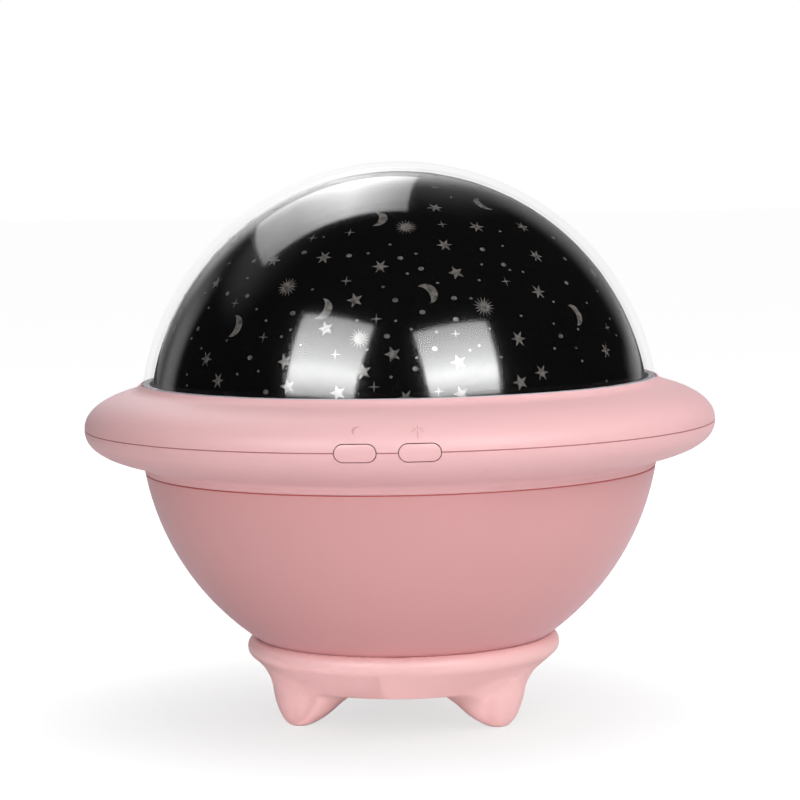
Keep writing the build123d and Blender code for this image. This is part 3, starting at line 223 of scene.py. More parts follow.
# each share of brightness lies between edges on the unit sphere of directions, as (edge, softness)
bright_wall = toward_z.above(0.20, 0.12) * (1 - toward_x.above(0.06, 0.12))
high_wall = toward_z.above(0.55, 0.12) * (1 - toward_z.above(0.90, 0.10))
high_shine = 0.20 * high_wall * toward_y.above(0.2, 0.2) * (1 - toward_x.above(0.24, 0.12))
back_wall = toward_y.above(0.84, 0.09) * (0.30 + 0.9 * bright_wall) + high_shine
back_wall = back_wall * (1 - toward_z.above(0.75, 0.2))
rim_glare = 0.9 * toward_y.above(0.955, 0.02)
rim_glare = rim_glare * (1 - toward_x.above(-0.08, 0.05)) * (1 - toward_z.above(0.5, 0.2))
right_strip = 0.35 * toward_x.above(0.25, 0.08) * toward_y.above(0.75, 0.08)
right_strip = right_strip * (1 - toward_z.above(0.10, 0.06))
left_strip = (1 - toward_x.above(0.0, 0.1)) * toward_y.above(0.60, 0.05) * (1 - toward_y.above(0.78, 0.06))
left_strip = 0.5 * left_strip * (1 - toward_z.above(0.35, 0.15))
dim_room = 0.012
mirrored = dim_room + rim_glare + right_strip + back_wall + left_strip
seen = room.node("ShaderNodeLightPath", out="Is Camera Ray")
see_through = room.node("ShaderNodeLightPath", out="Is Transmission Ray")
glossy = room.node("ShaderNodeLightPath", out="Is Glossy Ray")
plain = seen + see_through
room_light = 0.05
strength = plain + (1 - plain) * (glossy * mirrored + (1 - glossy) * room_light)
backdrop = room.node("ShaderNodeBackground", {}, Color=(1, 1, 1, 1), Strength=strength)
room.node("ShaderNodeOutputWorld", {}, backdrop)

dome_radius = 0.066
dome_centre_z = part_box("outer_dome")[1].z - dome_radius
dome_middle = Vector((0, 0, dome_centre_z))


def soft_box(
    name, spot, facing, width, height, brightness, mirrored_only, across=None, upward=None, spread=180,
):
    """Area lamp at a spot off the dome's middle, that makes only the gloss, or only the light. Its
    brightness may change across it or upwards, as (place, share) stops."""
    lamp = bpy.data.lights.new(name, "AREA")
    lamp.shape = "RECTANGLE"
    lamp.size = width
    lamp.size_y = height
    lamp.energy = brightness * pi * width * height
    lamp.spread = radians(spread)
    holder = bpy.data.objects.new(name, lamp)
    turned = facing.to_track_quat("Z", "Y").to_matrix().to_4x4()
    holder.matrix_world = Matrix.Translation(dome_middle + spot) @ turned
    holder.visible_diffuse = not mirrored_only
    holder.visible_glossy = mirrored_only
    holder.visible_transmission = mirrored_only
    bpy.context.scene.collection.objects.link(holder)
    if across or upward:
        lamp.use_nodes = True
        cloth = Finish(name, lamp.node_tree)
        place = cloth.node("ShaderNodeNewGeometry", out="Parametric")
        place = cloth.node("ShaderNodeSeparateXYZ", {}, place, out="X" if across else "Y")
        stops = [(at, (share, share, share, 1)) for at, share in across or upward]
        share = cloth.node("ShaderNodeValToRGB", {"stops": stops}, place)
        cloth.node("ShaderNodeOutputLight", {}, cloth.node("ShaderNodeEmission", {}, share, 1.0))


def towards(round_deg, up_deg):
    """Direction from the dome, round from the front and above the horizon."""
    turn, rise = radians(round_deg), radians(up_deg)
    return Vector((sin(turn) * cos(rise), -cos(turn) * cos(rise), sin(rise)))


# every lamp's row: name, degrees round from the front and up, width, height, brightness
box_away = 0.75
window_glow = [
    (0, 0.39), (0.08, 0.54), (0.16, 0.74), (0.24, 0.90), (0.33, 1.0), (0.46, 0.74), (0.6, 0.60), (0.8, 0.45),
    (1, 0.32),
]
windows = (
    ("mirrored_left", -33.5, 31.3, 0.423, 0.457, 10.0),
    ("mirrored_right", 31.6, 29.7, 0.428, 0.407, 10.9),
)
for name, round_deg, up_deg, width, height, brightness in windows:
    out = towards(round_deg, up_deg)
    soft_box(name, box_away * out, out, width, height, brightness, True, upward=window_glow)

strip_spot = Vector((-0.32, 0.95, 0.75))
strip_width = 0.70
strip_length = 1.3
strip_brightness = 4.0
strip_glow = [(0, 0.36), (0.04, 0.40), (0.31, 1.0), (0.62, 0.51), (1, 0.33)]
soft_box(
    "mirrored_overhead", strip_spot, Vector((0, 0, 1)), strip_width, strip_length, strip_brightness, True,
    across=strip_glow,
)

lamps = (
    ("front", 0, 13, 0.45, 0.45, 3.5),
    ("front_left", -40, 35, 0.45, 0.45, 0.4),
    ("front_right", 40, 35, 0.45, 0.45, 1.8),
    ("side_left", -90, 25, 0.45, 0.45, 0.15),
    ("side_right", 90, 25, 0.45, 0.45, 2.7),
    ("above", 20, 75, 0.6, 0.6, 1.8),
    ("back_left", -140, 35, 0.5, 0.5, 0.5),
    ("back_right", 140, 35, 0.5, 0.5, 1.4),
    ("low_left", -50, 6, 0.45, 0.16, 1.5),
    ("behind", 180, 10, 0.45, 0.45, 1.8),
)
for name, round_deg, up_deg, width, height, brightness in lamps:
    out = towards(round_deg, up_deg)
    soft_box(name, box_away * out, out, width, height, brightness, False)

beam_aim = Vector((-0.011, 0, 0.001))
beam_width = 0.07
beam_height = 0.008
beam_brightness = 1.45
beam_spread = 4
out = towards(-22, 3)
soft_box(
    "low_beam", box_away * out + beam_aim - dome_middle, out, beam_width, beam_height, beam_brightness, False,
    spread=beam_spread,
)

# --------------------------------------------------------------------------------------------- clear dome
# A hemisphere with a short straight skirt, injection moulded in clear polycarbonate with a 1.6 mm wall.
# It drops into a socket in the saucer's upper shell and lifts out by hand.
dome_wall = 0.0016
dome_foot_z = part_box("outer_dome")[0].z
dome_join = 0.010               # where the ball turns into the straight foot
dome_steps = 160                # round the axis
section_steps = 56              # up the section


def link_piece(name, mesh, body, material, smooth=True):
    """Makes an object of a finished mesh and hangs it on its body."""
    data = bpy.data.meshes.new(name)
    mesh.to_mesh(data)
    mesh.free()
    for face in data.polygons:
        face.use_smooth = smooth
    data.materials.append(material)
    piece = bpy.data.objects.new(name, data)
    bpy.context.scene.collection.objects.link(piece)
    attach(piece, body)
    return piece


def spin_profile(points):
    """Turned solid: a closed profile of (radius, height) points goes once round the axis."""
    mesh = bmesh.new()
    verts = [mesh.verts.new((r, 0, z)) for r, z in points]
    edges = [mesh.edges.new(pair) for pair in zip(verts, verts[1:] + verts[:1])]
    bmesh.ops.spin(
        mesh, geom=verts + edges, cent=(0, 0, 0), axis=(0, 0, 1), dvec=(0, 0, 0),
        angle=2 * pi, steps=dome_steps, use_merge=True, use_duplicate=False,
    )
    bmesh.ops.remove_doubles(mesh, verts=mesh.verts, dist=1e-6)
    loose = [e for e in mesh.edges if not e.link_faces]
    bmesh.ops.delete(mesh, geom=loose, context="EDGES")
    bmesh.ops.recalc_face_normals(mesh, faces=mesh.faces)
    return mesh


def ball_points(radius, low, high):
    """Points up a ball's section, from one height over its centre to another."""
    start, end = asin(low / radius), asin(min(1, high / radius))
    angles = [start + (end - start) * n / section_steps for n in range(section_steps + 1)]
    return [(radius * cos(a), dome_centre_z + radius * sin(a)) for a in angles]


inner_r = dome_radius - dome_wall
over_lip = 0.00006
seal_top_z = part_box("upper_ring_shell")[1].z + over_lip
dome_low = seal_top_z - dome_centre_z
dome_profile = ball_points(dome_radius, dome_low, dome_radius)
dome_profile += ball_points(inner_r, dome_low, inner_r)[::-1]
clear = Finish("clear_polycarbonate")
clear_place = clear.node("ShaderNodeTexCoord", out="Object")
clear_ripple = clear.node("ShaderNodeTexNoise", {}, Vector=clear_place, Scale=26.0, Detail=1.0)
clear_edge = clear.node("ShaderNodeLayerWeight", {}, Blend=0.5, out="Facing")
clear_dome = link_piece(
    "clear_dome", spin_profile(dome_profile), "dome",
    clear.plastic(
        Base_Color=(0.45, 0.45, 0.47, 1), Metallic=1.0, Roughness=0.08,
        Alpha=0.008 + 0.075 * clear_edge ** 2,
        Normal=clear.node("ShaderNodeBump", {}, Height=clear_ripple, Strength=0.012, Distance=0.001),
    ),
)
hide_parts("outer_dome")

# -------------------------------------------------------------------------------------------- dome's foot
# The dome ends in a straight foot of milky polycarbonate, moulded on as a second shot, that stands in the
# saucer's socket. Only its upper edge shows, as a pale line inside the lip.
skirt_r = sqrt(dome_radius ** 2 - dome_join ** 2)
skirt_inner_r = skirt_r - dome_wall
foot_bevel = 0.0002
foot_top_r = sqrt(dome_radius ** 2 - dome_low ** 2)
foot_profile = [
    (skirt_inner_r + foot_bevel, dome_foot_z), (skirt_r - foot_bevel, dome_foot_z),
    (skirt_r, dome_foot_z + foot_bevel),
    (skirt_r, dome_centre_z + dome_join), (foot_top_r, seal_top_z),
    (sqrt(inner_r ** 2 - dome_low ** 2), seal_top_z), (skirt_inner_r, dome_foot_z + foot_bevel),
]
milky = Finish("milky_polycarbonate")
milky_place = milky.node("ShaderNodeTexCoord", out="Object")
milky_cloud = milky.node("ShaderNodeTexNoise", {}, Vector=milky_place, Scale=70.0, Detail=2.0)
milky_foot = link_piece(
    "dome_foot", spin_profile(foot_profile), "dome",
    milky.plastic(
        Base_Color=milky.mix(milky_cloud, paint(226, 224, 233), paint(240, 239, 246)),
        Roughness=0.30 + 0.1 * milky_cloud,
    ),
    smooth=False,
)
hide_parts("outer_dome")

# ---------------------------------------------------------------------------------------------- star film
# A black film, vacuum formed to a thin dome, that clips to the turntable. Its crescents, suns, stars and
# dots are left clear, so that the lamp throws them on the ceiling.
film_radius = 0.06355
film_foot_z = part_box("film_dome")[0].z
film_t = 0.0005
film_foot = film_foot_z - dome_centre_z
film_flange = 0.0032
film_profile = ball_points(film_radius, film_foot, film_radius)
film_inner = ball_points(film_radius - film_t, film_foot + film_t, film_radius - film_t)[::-1]
film_rim_r = film_profile[0][0]
film_profile += film_inner
film_profile += [(film_rim_r - film_flange, film_foot_z + film_t), (film_rim_r - film_flange, film_foot_z)]
film = Finish("black_film")
film_place = film.node("ShaderNodeTexCoord", out="Object")
film_wave = film.node("ShaderNodeTexNoise", {}, Vector=film_place, Scale=45.0, Detail=0.0)
film_cloud = film.node("ShaderNodeTexNoise", {}, Vector=film_place, Scale=14.0, Detail=3.0)
star_film = link_piece(
    "star_film", spin_profile(film_profile), "turntable",
    film.plastic(
        Base_Color=film.mix(film_cloud, paint(4, 4, 5), paint(13, 12, 12)),
        Roughness=0.080 + film_cloud * 0.02, IOR=1.85,
        Normal=film.node("ShaderNodeBump", {}, Height=film_wave, Strength=0.05, Distance=0.001),
    ),
)
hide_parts("film_dome")


def seen_from_camera(across, down):
    """Direction on the film's ball that shows at a place of the frame."""
    ray = sight(across, down)
    start = camera_spot - Vector((0, 0, dome_centre_z))
    along = start.dot(ray)
    depth = along * along - (start.length_squared - film_radius ** 2)
    if depth < 0:
        return None
    return (start + ray * (-along - sqrt(depth))).normalized()


# corners of each kind, and how far out every second one lies
motif_shapes = {
    "star5": (10, 0.42), "star6": (12, 0.38), "sun": (32, 0.40), "spark": (8, 0.18), "dot": (12, 1.0),
    "moon": (32, 1.0),
}
horn_across = 0.16              # how far a crescent's horns stand off its middle, as a share of its size
hollow_depth = 0.29             # how deep its hollow is behind the horns
dot_squash = 0.8
print_proud = 0.00004


def motif_outline(mesh, kind, size):
    """Flat clear patch of one kind, in the middle of the sketch plane."""
    points, waist = motif_shapes[kind]
    ring = bmesh.ops.create_circle(mesh, cap_ends=True, segments=points, radius=size / 2)["verts"]
    for n, vert in enumerate(ring):
        if kind == "moon" and vert.co.x > horn_across * size:
            # the inner edge is the arc of a smaller circle, from horn to horn
            horn = sqrt(0.25 - horn_across ** 2) * size
            hollow = sqrt(max(0, 1 - (vert.co.y / horn) ** 2)) * hollow_depth * size
            vert.co.x = horn_across * size - hollow
        elif kind == "dot":
            vert.co.y *= dot_squash
        elif kind != "moon" and n % 2:
            vert.co *= waist


# sizes in mm, then each motif's place across and down the frame and its turn in degrees
motif_sizes = {
    "moon": 5.6, "sun": 5.5, "star6": 4.2, "star5": 4.1, "spark": 2.9, "big_dot": 1.45, "small_dot": 0.8,
}
placed_motifs = {
    "moon": [
        (484, 204, 0), (376, 219, 180), (321, 309, 165), (426, 294, 207), (233.5, 326, 180),
        (574, 315, 185),
    ],
    "sun": [
        (406, 227, 0), (359.5, 338.5, 9), (287.5, 287, 4), (484, 306.8, 7), (593.5, 273, 0),
        (234.8, 240.3, 0),
    ],
    "star6": [
        (435, 207.8, 90), (476.6, 227, 90), (444.5, 245, 90), (324, 257.5, 90), (380.3, 266.5, 90),
        (522.5, 227, 90), (536, 256, 80), (538.2, 291.8, 90), (274, 260.4, 92), (518.5, 338.7, 90),
        (605.6, 350.3, 90), (206.4, 359, 90), (217.9, 380.7, 95), (541.7, 372.5, 90), (406, 398, 90),
        (181, 312, 90),
    ],
    "star5": [
        (456, 272.7, 90), (355, 300.2, 90), (216.7, 282.7, 94), (325.8, 328.8, 90), (392.7, 354.3, 90),
        (285, 361.4, 95), (363.2, 371.6, 84), (288, 386.6, 90), (338, 393, 90), (458.7, 362.4, 90),
        (461, 394, 90), (174.2, 329.4, 90), (520.5, 382.4, 90),
    ],
    "spark": [
        (453.4, 184.9, 0), (442, 224.4, 0), (349.8, 232.5, 0), (346.2, 281, 0), (376.3, 319, 0),
        (505.7, 281.5, 0), (229.4, 263.3, 0), (455.6, 333.9, 0), (335.3, 354.5, 0), (263.4, 337.2, 0),
        (235.2, 303.3, 0), (374, 387, 0), (607.1, 327.6, 0), (480, 187.4, 0), (438.5, 391.5, 0),
        (312.4, 238, 0),
    ],
    "big_dot": [
        (434.7, 187.4, 0), (349, 255.7, 0), (400.3, 258.2, 0), (421, 268.7, 0), (482.5, 249.5, 0),
        (503.6, 264.7, 0), (522.3, 210.2, 0), (553, 237.8, 0), (304.1, 252.6, 0), (395.2, 300.2, 0),
        (292.8, 313.2, 0), (387, 336.2, 0), (415.4, 368.8, 0), (454, 298.2, 0), (422.4, 312.2, 0),
        (455.8, 319.4, 0), (434.7, 348.7, 0), (560.8, 336.2, 0), (564.7, 258.9, 0), (566.3, 282.9, 0),
        (227.6, 293.6, 0), (247, 296, 0), (254.2, 261.2, 0), (198.2, 328.8, 0), (250, 357.6, 0),
        (620, 311.2, 0), (627.3, 326.3, 0), (635.2, 348, 0), (265.8, 392, 0),
    ],
    "small_dot": [
        (323.5, 237, 0), (390, 244.8, 0), (416, 253.8, 0), (368.3, 253.4, 0), (451, 197.3, 0),
        (500, 231.3, 0), (502.6, 246, 0), (481.5, 264.5, 0), (523, 272, 0), (407.3, 273.7, 0),
        (479.1, 280.3, 0), (437.4, 283, 0), (383, 287, 0), (312.5, 289.5, 0), (266.2, 320.6, 0),
        (290.6, 330, 0), (281.6, 336.7, 0), (395.7, 321, 0), (411.3, 329.3, 0), (357, 320.6, 0),
        (367, 349.7, 0), (300.8, 345, 0), (391, 377, 0), (416.6, 357.7, 0), (471, 298.5, 0),
        (489.3, 328.6, 0), (436.4, 332.1, 0), (469.9, 350.2, 0), (479, 345.6, 0), (501.2, 357.2, 0),
        (521, 315.8, 0), (553.4, 301.8, 0), (553.7, 323.8, 0), (554.6, 348.5, 0), (597.2, 291.6, 0),
        (586.7, 303, 0), (578, 329.2, 0), (609.7, 318.6, 0), (616, 335.2, 0), (582, 361, 0),
        (576.1, 347.7, 0), (239.7, 248.8, 0), (205.4, 293, 0), (247.6, 278.1, 0), (208.8, 307.8, 0),
        (191.6, 338.5, 0), (227, 340.7, 0), (201.5, 348.5, 0), (170.6, 370.6, 0), (187, 374.8, 0),
        (187, 385.4, 0), (237.3, 374.2, 0), (258.5, 371.2, 0), (264.6, 392.6, 0), (606.5, 381.1, 0),
        (256.7, 309.4, 0), (510, 270, 0),
    ],
}
print_mesh = bmesh.new()
motif_spots = []


def print_motif(kind, place, size, turn):
    """Lays one clear patch on the ball's surface."""
    patch = bmesh.new()
    motif_outline(patch, kind.split("_")[-1], size / 1000)
    bmesh.ops.triangulate(patch, faces=patch.faces)
    bmesh.ops.rotate(patch, verts=patch.verts, matrix=Matrix.Rotation(radians(turn), 3, "Z"))
    face_out = place.to_track_quat("Z", "Y").to_matrix()
    for vert in patch.verts:
        vert.co = (face_out @ vert.co + place * film_radius).normalized() * (film_radius + print_proud)
        vert.co.z += dome_centre_z
    data = bpy.data.meshes.new("patch")
    patch.to_mesh(data)
    patch.free()
    print_mesh.from_mesh(data)
    bpy.data.meshes.remove(data)
    motif_spots.append((place, size / 2000 / film_radius))


for kind, spots in placed_motifs.items():
    for across, down, turn in spots:
        place = seen_from_camera(across, down)
        if place is not None:
            print_motif(kind, place, motif_sizes[kind], turn)

# the rest of the film: which kinds, how far apart as an angle, and how many tries
scattered_motifs = (
    (("moon", "sun", "star6", "star6", "star6", "star5", "star5"), 0.075, 1500),
    (("spark",), 0.05, 500),
    (("big_dot",), 0.032, 900),
    (("small_dot",), 0.03, 900),
)
shuffle = random.Random(7)
bare_edge = 0.0035
film_low = (film_foot + bare_edge) / film_radius
front_out = towards(2, 5)
front_angle = 1.3               # the placed motifs cover the film up to here
star_sway = 16                  # degrees
for kinds, gap, tries in scattered_motifs:
    for n in range(tries):
        z = film_low + (1 - film_low) * shuffle.random()
        a = 2 * pi * shuffle.random()
        place = Vector((sqrt(1 - z * z) * cos(a), sqrt(1 - z * z) * sin(a), z))
        kind = shuffle.choice(kinds)
        draw = shuffle.random()
        turn = 90 + star_sway * (draw - 0.5) if "star" in kind else 360 * draw * (kind == "moon")
        reach = motif_sizes[kind] / 2000 / film_radius
        near = any(place.angle(p) < r + reach + gap for p, r in motif_spots)
        if not near and place.angle(front_out) > front_angle:
            print_motif(kind, place, motif_sizes[kind], turn)

# The clear patches are drawn grey: painted light, standing in for the glow of the film's inside seen through
# them.
window = Finish("clear_print_painted_see_through")
window_place = window.node("ShaderNodeTexCoord", out="Object")
window_grain = window.node("ShaderNodeTexNoise", {}, Vector=window_place, Scale=900.0, Detail=2.0)
link_piece(
    "film_print", print_mesh, "turntable",
    window.plastic(
        Base_Color=window.mix(window_grain.above(0.5, 0.25), paint(72, 70, 67), paint(116, 112, 108)),
        Roughness=0.11 + window_grain * 0.06, IOR=2.4,
    ),
)

# -------------------------------------------------------------------------------------------- saucer ring
# Two turned-looking shells, moulded in pale pink ABS with a fine satin texture, that meet at a thin seam.
# Four screws clamp them to the deck and the bowl.
seam_z = 0.0758
seam_half = 0.00013


def dress(material, *names):
    """Gives CAD nodes their finish."""
    for name in names:
        for held in nodes[name].material_slots:
            held.material = material


def moulded(name, light, dark, rough, lines=(), painted_shade_colour=None, sheen=0.0, gloss=0.5):
    """Plastic with a fine spark-eroded grain and a faint unevenness of tone. It may have level lines, as
    (height, half width), where a joint gathers shade."""
    finish = Finish(name)
    place = finish.node("ShaderNodeTexCoord", out="Object")
    cloud = finish.node("ShaderNodeTexNoise", {}, Vector=place, Scale=18.0, Detail=3.0, Roughness=0.55)
    grain = finish.node("ShaderNodeTexNoise", {}, Vector=place, Scale=2600.0, Detail=2.0)
    pits = finish.node("ShaderNodeTexVoronoi", {}, Vector=place, Scale=1800.0)
    colour = finish.mix(cloud, dark, light)
    # each level line is painted shade, darkening the colour where a joint gathers shade
    for height, half_width in lines:
        up = finish.node("ShaderNodeSeparateXYZ", {}, place, out="Z")
        off_line = finish.node("ShaderNodeMath", {"operation": "ABSOLUTE"}, up - height)
        colour = finish.mix(off_line.above(half_width, 0.4 * half_width), painted_shade_colour, colour)
    sparks = grain + pits * 0.4
    return finish.plastic(
        Base_Color=colour, Sheen_Weight=sheen, Sheen_Roughness=0.3, Sheen_Tint=(0.82, 0.80, 1.0, 1),
        Specular_IOR_Level=gloss,
        Roughness=rough + cloud * 0.05,
        Normal=finish.node("ShaderNodeBump", {}, Height=sparks, Strength=0.10, Distance=0.00006),
    )


# The dark line at the seam is painted shade in the parting line between the shells.
ring_pink = moulded(
    "ring_pink", paint(240, 190, 192), paint(236, 185, 187), 0.44,
    [(seam_z, seam_half)], paint(184, 112, 114), sheen=0.12, gloss=0.36,
)
dress(ring_pink, "upper_ring_shell", "lower_ring_shell")

# ------------------------------------------------------------------------------------------- button icons
# A small crescent over the left button and a burst of short strokes over the right one, raised by a hair
# from the saucer's face in the mould, and a little duller than it.
icon_spots = {"moon": (357.5, 430.8), "burst": (417.5, 430.8)}
icon_sizes = {"moon": 0.0028, "burst": 0.0032}
icon_proud = 0.00005
icon_horn = 0.05                # the crescent's horns and hollow, as shares of its size
icon_hollow = 0.62
icon_tilt = -25
stroke_width = 0.00022
# each stroke's turn in degrees, and its ends as shares of the burst's size
burst_strokes = (
    (0, 0.12, 0.5), (50, 0.16, 0.48), (-50, 0.16, 0.48), (95, 0.2, 0.46), (-95, 0.2, 0.46), (180, 0.0, 0.7),
)

shell_mesh = nodes["upper_ring_shell"].data
shell_tree = BVHTree.FromPolygons(
    [v.co for v in shell_mesh.vertices], [p.vertices for p in shell_mesh.polygons],
)
icon_mesh = bmesh.new()
for kind, (across, down) in icon_spots.items():
    icon_size = icon_sizes[kind]
    spot, facing, _, _ = shell_tree.ray_cast(camera_spot, sight(across, down))
    rightwards = Vector((0, 0, 1)).cross(facing).normalized()
    upwards = facing.cross(rightwards)
    icon = bmesh.new()
    if kind == "moon":
        rim = bmesh.ops.create_circle(icon, cap_ends=True, segments=32, radius=icon_size / 2)["verts"]
        for vert in rim:
            if vert.co.x > icon_horn * icon_size:
                hollow = sqrt(max(0, 0.25 - (vert.co.y / icon_size) ** 2)) * icon_hollow * icon_size
                vert.co.x = icon_horn * icon_size - hollow
        bmesh.ops.rotate(icon, verts=rim, matrix=Matrix.Rotation(radians(icon_tilt), 3, "Z"))
    else:
        for turn, near, far in burst_strokes:
            stroke = bmesh.ops.create_grid(icon, x_segments=1, y_segments=3, size=0.5)["verts"]
            bmesh.ops.scale(icon, verts=stroke, vec=(stroke_width, (far - near) * icon_size, 1))
            bmesh.ops.translate(icon, verts=stroke, vec=(0, (far + near) / 2 * icon_size, 0))
            bmesh.ops.rotate(icon, verts=stroke, matrix=Matrix.Rotation(radians(turn), 3, "Z"))
    bmesh.ops.triangulate(icon, faces=icon.faces)
    bmesh.ops.subdivide_edges(icon, edges=icon.edges, cuts=1, use_grid_fill=True)
    for vert in icon.verts:
        on_face, facing, _, _ = shell_tree.find_nearest(spot + rightwards * vert.co.x + upwards * vert.co.y)
        vert.co = on_face + facing * icon_proud
    icon_data = bpy.data.meshes.new("icon")
    icon.to_mesh(icon_data)
    icon.free()
    icon_mesh.from_mesh(icon_data)
    bpy.data.meshes.remove(icon_data)
link_piece(
    "button_icons", icon_mesh, "housing",
    moulded("icon_pink", paint(222, 160, 162), paint(212, 150, 152), 0.5),
)

# ------------------------------------------------------------------------------------------------ buttons
# Two oblong push buttons of the same pink ABS, that end flush with the saucer and press a switch behind.
button_pink = moulded("button_pink", paint(240, 188, 190), paint(236, 183, 185), 0.34)
dress(button_pink, "left_button", "right_button")

# --------------------------------------------------------------------------------------------------- bowl
# A moulded half ball under the saucer, in a slightly deeper pink, with a flat bottom that the base carries.
neck_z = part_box("lower_ring_shell")[0].z
neck_half = 0.0003
# The dark line at the neck, just under the saucer's lower shell, is painted shade.
bowl_pink = moulded(
    "bowl_pink", paint(224, 165, 166), paint(219, 160, 161), 0.42,
    [(neck_z, neck_half)], paint(196, 92, 86), sheen=0.35,
)
dress(bowl_pink, "bowl")

# ------------------------------------------------------------------------------------------ base and feet
# One moulding: a shallow dish with a rounded rim on three blunt feet, screwed to the bowl from below. Where
# a foot meets the dish, the mould has a hollow round of about 3 mm.
dish_floor_r = 0.031
dish_floor_z = 0.00975
dish_slope_top = (0.039085, 0.016874)
foot_circle_r = 0.029
foot_turns = (85.6, 205.6, 325.6)
blend_reach = (0.0075, 0.0033)      # on the side of the dish's middle, and on its outer side
blend_voxel = 0.0005
blend_least = 0.00002               # smaller pushes than this aren't smoothed
axis_inset = 0.0035                 # a foot leans in, so its axis is taken inside the circle of its tip
on_dish = 0.00012
on_floor = 0.0001
tip_l = 0.0016
smooth_blend, smooth_tips, smooth_all = 12, 6, 1

axis_r = foot_circle_r - axis_inset
foot_axes = [Vector((cos(radians(t)), sin(radians(t)), 0)) * axis_r for t in foot_turns]
slope_along = Vector((dish_slope_top[0] - dish_floor_r, dish_slope_top[1] - dish_floor_z)).normalized()
slope_out = Vector((slope_along.y, -slope_along.x))


def off_dish(spot):
    """How far a spot stands out of the dish's floor and slope, whichever is nearer."""
    from_edge = Vector((spot.xy.length - dish_floor_r, spot.z - dish_floor_z))
    return max(dish_floor_z - spot.z, from_edge.dot(slope_out))


moulding = bmesh.new()
moulding.from_mesh(nodes["foot_base"].data)
bmesh.ops.remove_doubles(moulding, verts=moulding.verts, dist=1e-6)
dish_faces = []
foot_faces = []
face_kinds = []
for face in moulding.faces:
    spot = face.calc_center_median()
    axis = min(foot_axes, key=lambda a: (spot.xy - a.xy).length)
    outwards = face.normal.xy.dot(spot.xy - axis.xy) > 0 or spot.z < on_floor
    kind = None
    if face.normal.z < 0.1 and spot.z < dish_slope_top[1]:
        if abs(off_dish(spot)) < on_dish:
            kind = dish_faces
        elif outwards and off_dish(spot) > 0:
            kind = foot_faces
    face_kinds.append(kind)
    if kind is not None:
        kind.append([v.index for v in face.verts])
corners = [v.co.copy() for v in moulding.verts]
dish_tree = BVHTree.FromPolygons(corners, dish_faces)
foot_tree = BVHTree.FromPolygons(corners, foot_faces)
moulding_tree = BVHTree.FromBMesh(moulding)
sharp_data = bpy.data.meshes.new("sharp_base")
moulding.to_mesh(sharp_data)
moulding.free()
sharp_base = bpy.data.objects.new("sharp_base", sharp_data)
bpy.context.scene.collection.objects.link(sharp_base)
remesh = sharp_base.modifiers.new("remesh", "REMESH")
remesh.mode = "VOXEL"
remesh.voxel_size = blend_voxel
remeshed = sharp_base.evaluated_get(bpy.context.evaluated_depsgraph_get())
soft_data = bpy.data.meshes.new_from_object(remeshed)
bpy.data.objects.remove(sharp_base)
blended = bmesh.new()
blended.from_mesh(soft_data)
bpy.data.meshes.remove(soft_data)
blended.normal_update()
moved = []
for vert in blended.verts:
    nearest = moulding_tree.find_nearest(vert.co)[2]
    if face_kinds[nearest] is None:
        continue
    other = foot_tree if face_kinds[nearest] is dish_faces else dish_tree
    gap = other.find_nearest(vert.co)[3]
    axis = min(foot_axes, key=lambda a: (vert.co.xy - a.xy).length)
    outer_side = 0.5 + 0.5 * (vert.co.xy - axis.xy).normalized().dot(axis.xy.normalized())
    reach = blend_reach[0] + (blend_reach[1] - blend_reach[0]) * outer_side
    if gap < reach:
        moved.append((vert, vert.normal * reach / 4 * (1 - gap / reach) ** 2))
for vert, step in moved:
    vert.co += step
near_blend = [vert for vert, step in moved if step.length > blend_least]
tips = [vert for vert in blended.verts if vert.co.z < tip_l]
for verts, times in ((near_blend, smooth_blend), (tips, smooth_tips), (blended.verts, smooth_all)):
    for n in range(times):
        bmesh.ops.smooth_vert(
            blended, verts=verts, factor=0.5, use_axis_x=True, use_axis_y=True, use_axis_z=True,
        )
# The base's pink is set lighter than the ring's: painted light, standing in for the light on the feet.
base_pink = moulded("base_pink", paint(253, 206, 205), paint(250, 201, 200), 0.40)
base_and_feet = link_piece("base_and_feet", blended, "housing", base_pink)
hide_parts("foot_base")

# ---------------------------------------------------------------------------------------------- turntable
# White ABS turntable with its ring gear under the film's flange. It turns round the lamp post on a nylon
# washer, and an acetal pinion drives it.
white_abs = moulded("white_abs", paint(228, 227, 222), paint(214, 213, 207), 0.42)
dress(white_abs, "turntable")
dress(moulded("natural_nylon", paint(214, 212, 200), paint(198, 196, 184), 0.38), "thrust_washer")
dress(moulded("natural_acetal", paint(232, 228, 214), paint(222, 217, 201), 0.30), "pinion")

# ------------------------------------------------------------------------------------------ deck and lamp
# The deck carries the motor, the main board and the lamp post, all white ABS. On the post's head sits a
# small board with one emitter under a soft silicone lens.
dress(white_abs, "deck_plate", "lamp_post", "lamp_head")
lens = Finish("silicone_lens")
lens_place = lens.node("ShaderNodeTexCoord", out="Object")
lens_cloud = lens.node("ShaderNodeTexNoise", {}, Vector=lens_place, Scale=900.0, Detail=2.0)
dress(
    lens.plastic(
        Base_Color=lens.mix(lens_cloud, paint(236, 214, 120), paint(246, 232, 160)),
        Roughness=0.12 + 0.1 * lens_cloud, IOR=1.41, Coat_Weight=0.6,
    ),
    "led_emitter",
)

# -------------------------------------------------------------------------------------------------- motor
# A pressed steel can with a brass gearbox, held to the deck by a bent steel bracket. Its ground shaft
# carries the pinion.


